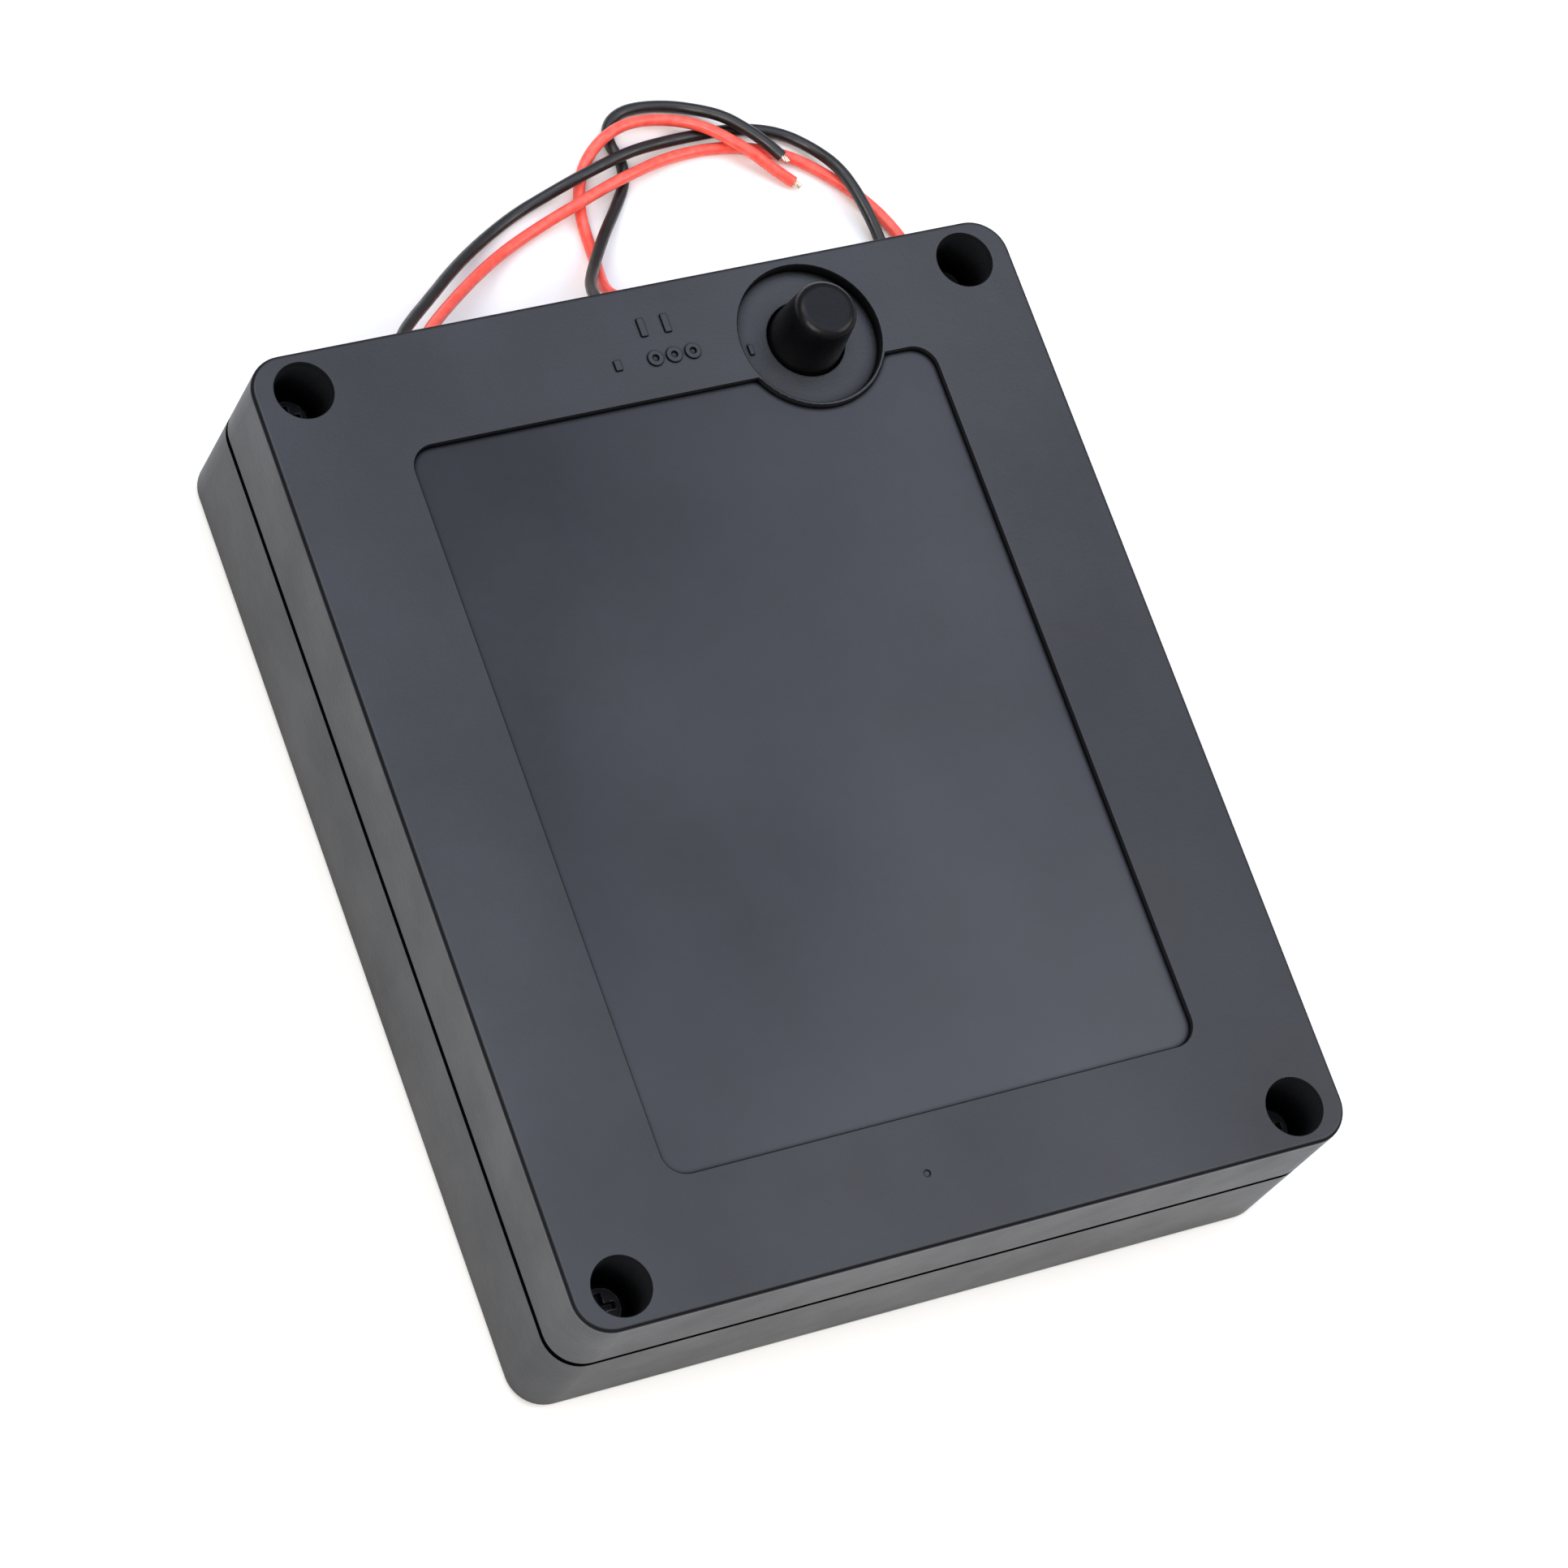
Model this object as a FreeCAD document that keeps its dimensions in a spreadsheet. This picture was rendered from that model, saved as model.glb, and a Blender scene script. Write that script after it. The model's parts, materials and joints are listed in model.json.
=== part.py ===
import FreeCAD, Part
import math
import os
import Sketcher

# Fence energizer in a flat two-shell moulded case, millimetres.
# +X is right, +Y points to the rear wall where the leads come out, +Z is up.
# The origin is the centre of the case's base.

# ---------------------------------------------------------------- driving dimensions
SIZES = {
    # case
    "case_width": 105.0,
    "case_length": 128.8,
    "case_height": 29.7,
    "corner_radius": 4.8,
    "wall": 2.4,
    "rim_height": 16.25,
    "groove_width": 1.0,
    "groove_depth": 0.7,
    "tongue_inset": 1.4,
    "tongue_height": 1.7,
    "tongue_play": 0.1,
    "edge_round": 0.6,
    "base_round": 0.8,
    "mouth_round": 0.2,
    # cover screws
    "screw_x": 45.9,
    "screw_y": 59.2,
    "well_radius": 3.75,
    "boss_radius": 5.1,
    "spigot_radius": 2.6,
    "shoulder": 1.8,
    "screw_radius": 1.5,
    "screw_head_radius": 3.3,
    "screw_head_height": 2.2,
    "screw_length": 12.0,
    # label panel
    "label_left": -35.6,
    "label_right": 36.9,
    "label_front": -48.1,
    "label_back": 48.9,
    "label_depth": 0.9,
    "label_radius": 3.1,
    # small dimple that the moulding gate leaves
    "gate_x": -3.9,
    "gate_y": -55.5,
    "gate_radius": 0.45,
    "gate_depth": 0.15,
    # push button and its ring
    "switch_x": 21.5,
    "switch_y": 53.5,
    "ring_radius": 9.6,
    "ring_rim": 0.5,
    "ring_depth": 1.8,
    "ring_floor": 1.6,
    "guide_wall": 1.6,
    "guide_depth": 3.8,
    "button_radius": 4.9,
    "button_top_radius": 4.0,
    "button_height": 9.0,
    "button_play": 0.35,
    "collar_radius": 6.4,
    "collar_thickness": 1.2,
    "collar_gap": 0.3,
    "stem_radius": 1.7,
    "stem_socket_wall": 1.4,
    "stem_socket_depth": 2.0,
    # moulded on and off marks
    "mark_height": 0.25,
    "mark_stroke": 0.6,
    "mark_width": 0.9,
    "mark_length": 2.5,
    "mark_circle": 1.05,
    "mark_on_x": -0.3,
    "mark_on_y": 58.6,
    "mark_on_pitch": 3.3,
    "mark_off_x": 0.0,
    "mark_off_y": 54.2,
    "mark_off_pitch": 2.6,
    "mark_side_x": -5.2,
    "pointer_length": 1.4,
    "pointer_gap": 1.8,
    # switch under the button
    "switch_side": 11.0,
    "switch_height": 8.6,
    "switch_roof": 1.4,
    "switch_base": 1.2,
    "switch_bore": 3.1,
    "foot_radius": 2.7,
    "foot_thickness": 1.2,
    "foot_gap": 0.3,
    "spring_radius": 2.1,
    "spring_wire": 0.35,
    # circuit board
    "board_half_width": 48.0,
    "board_half_length": 60.0,
    "board_thickness": 1.6,
    "board_notch_x": 40.0,
    "board_notch_y": 53.3,
    "post_height": 5.0,
    "post_radius": 2.8,
    "post_x": 44.0,
    "post_y": 44.0,
    "board_screw_radius": 1.0,
    "board_screw_head": 2.3,
    # leads
    "lead_radius": 0.8,
    "lead_half_pitch": 1.6,
    "exit_height": 12.0,
    "output_exit_x": -23.0,
    "input_exit_x": 6.0,
    "grommet_neck": 3.2,
    "grommet_flange": 4.1,
    "grommet_flange_thickness": 1.5,
    "hole_play": 0.05,
    "tip_radius": 0.45,
    "tip_length": 1.2,
    "tie_y": 57.0,
    "tie_width": 2.5,
    "tie_thickness": 0.9,
    # wire terminals
    "connector_width": 8.2,
    "connector_depth": 7.0,
    "connector_height": 7.0,
    "connector_back": 53.5,
    "connector_grip": 3.0,
    "clamp_radius": 1.3,
    "clamp_height": 1.4,
    "clamp_depth": 1.8,
    "clamp_slot": 0.5,
    # parts on the board
    "capacitor_x": 14.0,
    "capacitor_y": 22.0,
    "capacitor_width": 31.0,
    "capacitor_depth": 19.0,
    "capacitor_height": 15.5,
    "can_x": 40.0,
    "can_y": 6.0,
    "can_pitch": 12.0,
    "can_radius": 5.0,
    "can_height": 14.0,
    "sink_x": -30.0,
    "sink_y": -26.0,
    "sink_width": 24.0,
    "sink_length": 20.0,
    "sink_gauge": 1.5,
    "sink_height": 12.0,
    "tab_width": 10.0,
    "tab_length": 15.4,
    "tab_thickness": 1.3,
    "tab_hole": 2.8,
    "device_height": 4.4,
    "device_length": 9.2,
    "leg_pitch": 2.54,
    "leg_width": 0.8,
    "leg_reach": 4.5,
    "leg_height": 2.2,
    "device_screw": 1.4,
    "device_screw_head": 1.8,
    "device_screw_length": 2.6,
    "device_x": 40.0,
    "device_y": -12.0,
    "wire_radius": 0.3,
    "wire_reach": 2.0,
    "diode_radius": 1.35,
    "diode_length": 5.2,
    "diode_pitch": 4.5,
    "diode_x": -8.0,
    "diode_y": -14.0,
    "resistor_radius": 1.2,
    "resistor_length": 6.3,
    "resistor_pitch": 4.0,
    "resistor_x": 28.0,
    "resistor_y": -28.0,
    "guard_radius": 2.6,
    "guard_length": 9.0,
    "guard_x": 34.0,
    "guard_y": 44.0,
    "arrester_radius": 4.0,
    "arrester_length": 6.0,
    "arrester_x": -9.0,
    "arrester_y": 46.0,
    "fuse_x": 14.0,
    "fuse_y": 40.0,
    "fuse_radius": 2.6,
    "fuse_length": 20.0,
    "fuse_cap": 5.0,
    "fuse_lift": 1.2,
    "clip_wall": 0.8,
    "clip_height": 5.0,
    "chip_x": 6.0,
    "chip_y": -38.0,
    "chip_width": 9.6,
    "chip_depth": 6.4,
    "chip_height": 3.2,
    "chip_lift": 0.6,
    "pin_width": 0.5,
    "pin_depth": 0.6,
    "pin_height": 2.2,
}

# Transformers: plan centre, core outline, stack, legs, former and winding.
TRANSFORMERS = {
    "pulse_transformer": {
        "x": -26.0, "y": 14.0, "width": 34.0, "length": 36.0, "stack": 9.0,
        "leg": 11.0, "side": 5.5, "former": 0.8, "flange": 1.0, "winding": 2.6,
    },
    "inverter_transformer": {
        "x": 22.0, "y": -8.0, "width": 20.0, "length": 20.0, "stack": 5.0,
        "leg": 6.0, "side": 3.0, "former": 0.6, "flange": 0.8, "winding": 1.6,
    },
}

# Free leads: the points of each route in the order that the lead runs, on the table
# at z = lead_radius, with low humps where a lead passes over another.
ROUTES = {
    "output_lead_black": [
        (-24.6, 65.9, 12.0), (-24.6, 68.7, 12.0), (-23.6, 71.4, 10.8), (-20.4, 74.3, 8.9),
        (-15.9, 77.8, 6.5), (-10.7, 82.0, 3.9), (-4.8, 86.0, 1.6), (1.5, 89.3, 0.8),
        (6.4, 90.8, 1.5), (10.4, 91.8, 2.7), (14.9, 93.1, 2.8), (19.7, 94.4, 2.7),
        (24.9, 95.4, 1.4), (29.9, 95.8, 0.8), (34.3, 95.8, 0.8), (38.7, 95.2, 0.8),
        (42.7, 93.7, 0.8), (46.0, 90.7, 1.1), (47.8, 86.7, 2.7), (49.1, 82.2, 2.7),
        (50.2, 77.9, 1.5), (50.6, 74.3, 0.8), (49.6, 71.3, 0.8), (47.3, 69.2, 0.8),
    ],
    "output_lead_red": [
        (-21.4, 65.9, 12.0), (-21.4, 68.6, 12.0), (-20.0, 71.2, 10.6), (-16.7, 74.0, 8.5),
        (-12.1, 77.5, 6.0), (-7.0, 81.1, 3.5), (-1.0, 84.7, 1.3), (5.5, 87.2, 1.5),
        (9.7, 88.3, 2.7), (14.3, 89.9, 2.8), (19.1, 91.3, 2.7), (24.6, 93.0, 1.4),
        (29.6, 93.6, 0.8), (34.1, 93.3, 0.8), (38.4, 92.2, 0.8), (42.3, 90.4, 0.8),
        (45.6, 87.7, 0.8), (48.7, 84.5, 0.8), (51.4, 80.9, 0.8), (53.3, 76.9, 0.8),
        (54.3, 73.0, 0.8), (54.4, 69.8, 0.8),
    ],
    "input_lead_black": [
        (4.4, 65.9, 12.0), (4.4, 68.7, 12.0), (4.3, 71.5, 10.2), (5.2, 74.6, 7.6),
        (7.3, 77.6, 5.6), (9.8, 80.8, 4.1), (12.6, 84.2, 2.6), (15.8, 87.7, 1.2),
        (18.2, 90.8, 0.8), (19.0, 93.9, 0.8), (18.1, 96.6, 0.8), (18.6, 99.3, 0.8),
        (20.9, 101.0, 0.8), (24.2, 101.3, 0.8), (28.2, 100.7, 0.8), (31.6, 99.2, 1.4),
        (34.4, 97.0, 2.7), (36.9, 94.5, 2.8), (39.0, 92.1, 2.7), (40.5, 89.7, 2.6),
    ],
    "input_lead_red": [
        (7.6, 65.9, 12.0), (7.6, 68.5, 12.0), (7.5, 71.0, 10.3), (7.4, 73.6, 7.1),
        (8.7, 76.9, 3.9), (9.9, 80.7, 1.7), (10.4, 84.4, 0.8), (10.7, 88.0, 0.8),
        (11.9, 91.8, 0.8), (13.9, 95.0, 1.3), (16.6, 97.0, 2.7), (20.2, 98.4, 2.7),
        (24.3, 98.9, 1.6), (28.1, 98.1, 1.6), (31.1, 96.1, 2.7), (33.8, 93.7, 2.8),
        (36.3, 91.3, 2.7), (39.0, 88.9, 1.5), (41.6, 86.5, 0.9),
    ],
}

SPRING_TURNS = 4

UP = FreeCAD.Vector(0, 0, 1)
RIGHT = FreeCAD.Vector(1, 0, 0)
REAR = FreeCAD.Vector(0, 1, 0)

doc = FreeCAD.newDocument("FenceEnergizer")
nodes = []


# ---------------------------------------------------------------- sheet and helpers
def write_sheet():
    """Put every driving dimension in the sheet, one row each, with its alias."""
    sheet = doc.addObject("Spreadsheet::Sheet", "Sizes")
    table = dict(SIZES)
    for name, sizes in TRANSFORMERS.items():
        for key, value in sizes.items():
            table[f"{name}_{key}"] = value
    for row, (alias, value) in enumerate(table.items(), start=1):
        sheet.set(f"A{row}", alias)
        sheet.set(f"B{row}", str(value))
        sheet.setAlias(f"B{row}", alias)
    # Heights and places that several sub-parts share.
    derived = {
        "half_width": "=case_width / 2",
        "half_length": "=case_length / 2",
        "cover_base": "=rim_height + groove_width",
        "well_floor": "=rim_height + groove_width + shoulder",
        "board_base": "=wall + post_height",
        "board_top": "=wall + post_height + board_thickness",
        "ring_top": "=case_height - ring_depth",
        "collar_top": "=case_height - ring_depth - guide_depth - collar_gap",
        "switch_top": "=wall + post_height + board_thickness + switch_height",
    }
    first = len(table) + 1
    for row, (alias, formula) in enumerate(derived.items(), start=first):
        sheet.set(f"A{row}", alias)
        sheet.set(f"B{row}", formula)
        sheet.setAlias(f"B{row}", alias)
    doc.recompute()
    return sheet


sheet = write_sheet()


def size(expression):
    """The value, in millimetres, of an expression over the sheet's aliases."""
    value = sheet.evalExpression(str(expression))
    return float(getattr(value, "Value", value))


def linked(expression):
    """The same expression with each alias written as a cell of the sheet."""
    words = str(expression).replace("(", " ( ").replace(")", " ) ").split()
    return " ".join(f"Sizes.{word}" if sheet.getCellFromAlias(word) else word for word in words)


def bind(thing, **sizes):
    """Tie properties of a document object to expressions over the sheet."""
    for name, expression in sizes.items():
        thing.setExpression(name, linked(expression))


def place(thing, x="0", y="0", z="0", axis=UP):
    """Put an object's own Z axis along the axis given, at a place bound to the sheet."""
    thing.Placement.Rotation = FreeCAD.Rotation(UP, axis)
    thing.setExpression("Placement.Base.x", linked(x))
    thing.setExpression("Placement.Base.y", linked(y))
    thing.setExpression("Placement.Base.z", linked(z))
    return thing


def keep(thing, label):
    """Name a finished sub-part: its label is its node's name."""
    thing.Label = label
    nodes.append(thing)
    return thing


def body(label):
    return keep(doc.addObject("PartDesign::Body", label), label)


def sketch_on(part, name, role="XY_Plane", level="0"):
    """An empty sketch on one of the body's own planes, raised by level along its normal."""
    sketch = part.newObject("Sketcher::SketchObject", name)
    plane = next(item for item in part.Origin.OriginFeatures if item.Role == role)
    sketch.AttachmentSupport = (plane, [""])
    sketch.MapMode = "FlatFace"
    sketch.setExpression("AttachmentOffset.Base.z", linked(level))
    return sketch


def hold_point(sketch, geometry, point, x, y):
    """Fix a point of the sketch at two expressions over the sheet."""
    for kind, expression in (("DistanceX", x), ("DistanceY", y)):
        rule = Sketcher.Constraint(kind, -1, 1, geometry, point, size(expression))
        number = sketch.addConstraint(rule)
        sketch.setExpression(f"Constraints[{number}]", linked(expression))


def hold_radius(sketch, geometry, radius):
    number = sketch.addConstraint(Sketcher.Constraint("Radius", geometry, size(radius)))
    sketch.setExpression(f"Constraints[{number}]", linked(radius))


def draw_polygon(sketch, corners):
    """A closed outline of straight edges through corners given as expressions."""
    first = sketch.GeometryCount
    count = len(corners)
    values = [FreeCAD.Vector(size(x), size(y), 0) for x, y in corners]
    for index in range(count):
        sketch.addGeometry(Part.LineSegment(values[index], values[(index + 1) % count]))
    for index in range(count):
        following = first + (index + 1) % count
        sketch.addConstraint(Sketcher.Constraint("Coincident", first + index, 2, following, 1))
        hold_point(sketch, first + index, 1, *corners[index])


def draw_circles(sketch, centres, radius):
    for x, y in centres:
        centre = FreeCAD.Vector(size(x), size(y), 0)
        number = sketch.addGeometry(Part.Circle(centre, UP, size(radius)))
        hold_point(sketch, number, 3, x, y)
        hold_radius(sketch, number, radius)


def draw_rounded_box(sketch, left, right, front, back, radius):
    """A rectangle with four equal round corners, each side given as an expression."""
    first = sketch.GeometryCount
    centres = [
        (f"( {right} ) - ( {radius} )", f"( {front} ) + ( {radius} )", -90),
        (f"( {right} ) - ( {radius} )", f"( {back} ) - ( {radius} )", 0),
        (f"( {left} ) + ( {radius} )", f"( {back} ) - ( {radius} )", 90),
        (f"( {left} ) + ( {radius} )", f"( {front} ) + ( {radius} )", 180),
    ]
    arcs = []
    for x, y, start in centres:
        circle = Part.Circle(FreeCAD.Vector(size(x), size(y), 0), UP, size(radius))
        arcs.append(Part.ArcOfCircle(circle, math.radians(start), math.radians(start + 90)))
    for arc in arcs:
        sketch.addGeometry(arc)
    for index, arc in enumerate(arcs):
        following = arcs[(index + 1) % 4]
        line = sketch.addGeometry(Part.LineSegment(arc.EndPoint, following.StartPoint))
        sketch.addConstraint(Sketcher.Constraint("Tangent", first + index, 2, line, 1))
        sketch.addConstraint(Sketcher.Constraint("Tangent", line, 2, first + (index + 1) % 4, 1))
    for index, (x, y, _) in enumerate(centres):
        hold_point(sketch, first + index, 3, x, y)
        hold_radius(sketch, first + index, radius)


def draw_case_outline(sketch, inset):
    """The case's plan outline, moved in from the outside by an expression."""
    draw_rounded_box(
        sketch,
        f"( {inset} ) - half_width",
        f"half_width - ( {inset} )",
        f"( {inset} ) - half_length",
        f"half_length - ( {inset} )",
        f"corner_radius - ( {inset} )",
    )


def pad(part, sketch, length, reverse=False):
    feature = part.newObject("PartDesign::Pad", sketch.Name + "_pad")
    feature.Profile = sketch
    feature.Reversed = reverse
    bind(feature, Length=length)
    doc.recompute()
    return feature


def pocket(part, sketch, length, reverse=False):
    """Cut the sketch into the body and make sure that it took material away."""
    before = part.Shape.Volume
    feature = part.newObject("PartDesign::Pocket", sketch.Name + "_pocket")
    feature.Profile = sketch
    feature.Reversed = reverse
    bind(feature, Length=length)
    doc.recompute()
    if part.Shape.Volume > before - 1e-6:
        raise RuntimeError(f"{feature.Name} cut nothing")
    return feature


def revolve(part, sketch):
    """Turn the sketch a full turn about its own vertical axis."""
    feature = part.newObject("PartDesign::Revolution", sketch.Name + "_turn")
    feature.Profile = sketch
    feature.ReferenceAxis = (sketch, ["V_Axis"])
    feature.Angle = 360
    doc.recompute()
    return feature


def round_edges(part, name, radius, chosen):
    """Round the body's edges that the test picks out."""
    tip = part.Tip
    names = [f"Edge{i}" for i, edge in enumerate(tip.Shape.Edges, start=1) if chosen(edge)]
    feature = part.newObject("PartDesign::Fillet", name)
    feature.Base = (tip, names)
    bind(feature, Radius=radius)
    doc.recompute()
    return feature


def flat_at(height):
    """A test for edges that lie level at one height."""
    def chosen(edge):
        box = edge.BoundBox
        return abs(box.ZMin - height) < 1e-4 and abs(box.ZMax - height) < 1e-4
    return chosen


def box(name, width, depth, height, x="0", y="0", z="0"):
    """A block centred on x and y, standing on z."""
    block = doc.addObject("Part::Box", name)
    bind(block, Length=width, Width=depth, Height=height)
    return place(block, f"( {x} ) - ( {width} ) / 2", f"( {y} ) - ( {depth} ) / 2", z)


def cylinder(name, radius, height, x="0", y="0", z="0", axis=UP):
    bar = doc.addObject("Part::Cylinder", name)
    bind(bar, Radius=radius, Height=height)
    return place(bar, x, y, z, axis)


def cone(name, bottom, top, height, x="0", y="0", z="0"):
    shape = doc.addObject("Part::Cone", name)
    bind(shape, Radius1=bottom, Radius2=top, Height=height)
    return place(shape, x, y, z)


def fuse(name, pieces):
    joined = doc.addObject("Part::MultiFuse", name)
    joined.Shapes = pieces
    return joined


def cut(name, base, tool):
    rest = doc.addObject("Part::Cut", name)
    rest.Base = base
    rest.Tool = tool
    return rest


def group(label, pieces):
    """Several separate solids that share one node."""
    bundle = doc.addObject("Part::Compound", label)
    bundle.Links = pieces
    return keep(bundle, label)


def four_places(x, y):
    return [(f"{sx} * {x}", f"{sy} * {y}") for sx in (-1, 1) for sy in (-1, 1)]


# ---------------------------------------------------------------- case
def bottom_case():
    part = body("bottom_case")
    outside = sketch_on(part, "bottom_outside")
    draw_case_outline(outside, "0")
    pad(part, outside, "rim_height")
    round_edges(part, "bottom_round", "base_round", flat_at(0))
    tongue = sketch_on(part, "bottom_tongue", level="rim_height")
    draw_case_outline(tongue, "tongue_inset")
    pad(part, tongue, "tongue_height")
    inside = sketch_on(part, "bottom_inside", level="rim_height + tongue_height")
    draw_case_outline(inside, "wall")
    pocket(part, inside, "rim_height + tongue_height - wall")

    # Corner posts take the cover screws.
    posts = sketch_on(part, "bottom_corner_posts", level="wall / 2")
    draw_circles(posts, four_places("screw_x", "screw_y"), "boss_radius")
    pad(part, posts, "rim_height - wall / 2")
    threads = sketch_on(part, "bottom_corner_threads", level="rim_height")
    draw_circles(threads, four_places("screw_x", "screw_y"), "screw_radius + hole_play")
    pocket(part, threads, "rim_height - 2 * wall")

    standoffs = sketch_on(part, "bottom_standoffs", level="wall / 2")
    draw_circles(standoffs, four_places("post_x", "post_y"), "post_radius")
    pad(part, standoffs, "board_base - wall / 2")
    pilots = sketch_on(part, "bottom_pilots", level="board_base")
    draw_circles(pilots, four_places("post_x", "post_y"), "board_screw_radius + hole_play")
    pocket(part, pilots, "post_height")

    # The leads' holes go through the rear wall.
    exits = sketch_on(part, "bottom_exits", role="XZ_Plane", level="-1 * half_length - wall")
    draw_circles(exits, lead_exits(), "grommet_neck + hole_play")
    pocket(part, exits, "3 * wall", reverse=True)
    return part


def lead_exits():
    return [("output_exit_x", "exit_height"), ("input_exit_x", "exit_height")]


def top_cover():
    part = body("top_cover")
    outside = sketch_on(part, "cover_outside", level="cover_base")
    draw_case_outline(outside, "0")
    pad(part, outside, "case_height - cover_base")
    round_edges(part, "cover_round", "edge_round", flat_at(size("case_height")))
    inside = sketch_on(part, "cover_inside", level="cover_base")
    draw_case_outline(inside, "wall")
    pocket(part, inside, "case_height - cover_base - wall", reverse=True)
    add_cover_bosses(part)
    add_label_recess(part)
    add_switch_ring(part)
    round_edges(part, "mouth_round", "mouth_round", mouth_edge)
    add_marks(part)
    return part


def mouth_edge(edge):
    """True for the edges where the wells, the label panel and the ring open at the top."""
    box = edge.BoundBox
    margin = size("2 * edge_round")
    inside_x = max(-box.XMin, box.XMax) < size("half_width") - margin
    inside_y = max(-box.YMin, box.YMax) < size("half_length") - margin
    return inside_x and inside_y and flat_at(size("case_height"))(edge)


def add_cover_bosses(part):
    """Screw wells: a boss at each corner with a deep bore, a shoulder and a spigot."""
    bosses = sketch_on(part, "cover_bosses", level="cover_base")
    draw_circles(bosses, four_places("screw_x", "screw_y"), "boss_radius")
    pad(part, bosses, "case_height - cover_base - wall / 2")
    rebate = sketch_on(part, "cover_rebate", level="cover_base")
    draw_case_outline(rebate, "tongue_inset - tongue_play")
    draw_case_outline(rebate, "wall + tongue_play")
    pocket(part, rebate, "tongue_height - groove_width + tongue_play", reverse=True)
    spigots = sketch_on(part, "cover_spigots", level="rim_height")
    draw_circles(spigots, four_places("screw_x", "screw_y"), "spigot_radius")
    pad(part, spigots, "groove_width + shoulder")
    wells = sketch_on(part, "cover_wells", level="case_height")
    draw_circles(wells, four_places("screw_x", "screw_y"), "well_radius")
    pocket(part, wells, "case_height - well_floor")
    bores = sketch_on(part, "cover_bores", level="well_floor")
    draw_circles(bores, four_places("screw_x", "screw_y"), "screw_radius + 4 * hole_play")
    pocket(part, bores, "groove_width + 2 * shoulder")


def add_label_recess(part):
    label = sketch_on(part, "cover_label", level="case_height")
    sides = ("label_left", "label_right", "label_front", "label_back")
    draw_rounded_box(label, *sides, "label_radius")
    pocket(part, label, "label_depth")


def add_switch_ring(part):
    """An island with a round recess, and the guide tube that the button slides in."""
    centre = [("switch_x", "switch_y")]
    island = sketch_on(part, "cover_island", level="case_height")
    draw_circles(island, centre, "ring_radius + ring_rim")
    pad(part, island, "ring_depth + ring_floor", reverse=True)
    guide = sketch_on(part, "cover_guide", level="ring_top")
    draw_circles(guide, centre, "button_radius + button_play + guide_wall")
    pad(part, guide, "guide_depth", reverse=True)
    recess = sketch_on(part, "cover_ring", level="case_height")
    draw_circles(recess, centre, "ring_radius")
    pocket(part, recess, "ring_depth")
    opening = sketch_on(part, "cover_opening", level="ring_top")
    draw_circles(opening, centre, "button_radius + button_play")
    pocket(part, opening, "guide_depth")


def add_marks(part):
    """Raised marks beside the ring (two bars for on, three rings for off), pointer and gate dimple."""
    marks = sketch_on(part, "cover_marks", level="case_height")
    for step in range(2):
        draw_bar(marks, f"mark_on_x + {step} * mark_on_pitch", "mark_on_y", "mark_width", "mark_length")
    for step in range(3):
        ring = [(f"mark_off_x + {step} * mark_off_pitch", "mark_off_y")]
        draw_circles(marks, ring, "mark_circle")
        draw_circles(marks, ring, "mark_circle - mark_stroke")
    draw_bar(marks, "mark_side_x", "mark_off_y", "mark_width", "pointer_length")
    pad(part, marks, "mark_height")
    gate = sketch_on(part, "cover_gate", level="case_height")
    draw_circles(gate, [("gate_x", "gate_y")], "gate_radius")
    pocket(part, gate, "gate_depth")
    pointer = sketch_on(part, "cover_pointer", level="ring_top")
    pointer_x = "switch_x - ring_radius + pointer_gap"
    draw_bar(pointer, pointer_x, "switch_y", "mark_stroke", "pointer_length")
    pad(part, pointer, "mark_height")


def draw_bar(sketch, x, y, width, height):
    """A straight bar centred on x and y."""
    left, right = f"{x} - ( {width} ) / 2", f"{x} + ( {width} ) / 2"
    low, high = f"{y} - ( {height} ) / 2", f"{y} + ( {height} ) / 2"
    draw_polygon(sketch, [(left, low), (right, low), (right, high), (left, high)])


def case_seal():
    """Soft ring in the groove between the shells, set back from the outside."""
    part = body("case_seal")
    ring = sketch_on(part, "seal_ring", level="rim_height")
    draw_case_outline(ring, "groove_depth")
    draw_case_outline(ring, "tongue_inset")
    pad(part, ring, "groove_width")


def pan_screw(name, head_radius, head_height, radius, length, x, y, seat):
    """A pan head screw with a cross recess, its head standing on the seat."""
    rim = cylinder(f"{name}_rim", head_radius, f"{head_height} / 2", x, y, seat)
    crown_top = f"0.75 * {head_radius}"
    crown_base = f"{seat} + {head_height} / 2"
    crown = cone(f"{name}_crown", head_radius, crown_top, f"{head_height} / 2", x, y, crown_base)
    straight = f"0.85 * {length}"
    tip = f"0.15 * {length}"
    shank = cylinder(f"{name}_shank", radius, straight, x, y, f"{seat} - {straight}")
    point = cone(f"{name}_point", f"0.4 * {radius}", radius, tip, x, y, f"{seat} - {length}")
    solid = fuse(f"{name}_solid", [rim, crown, shank, point])
    arm_length = f"1.1 * {head_radius}"
    arm_width = f"0.3 * {head_radius}"
    floor = f"{seat} + 0.4 * {head_height}"
    across = box(f"{name}_across", arm_length, arm_width, head_height, x, y, floor)
    along = box(f"{name}_along", arm_width, arm_length, head_height, x, y, floor)
    return cut(f"{name}_screw", solid, fuse(f"{name}_recess", [across, along]))


def cover_screws():
    sizes = ("screw_head_radius", "screw_head_height", "screw_radius", "screw_length")
    screws = []
    for number, (x, y) in enumerate(four_places("screw_x", "screw_y"), start=1):
        screws.append(pan_screw(f"cover_{number}", *sizes, x, y, "well_floor"))
    group("cover_screws", screws)


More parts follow.
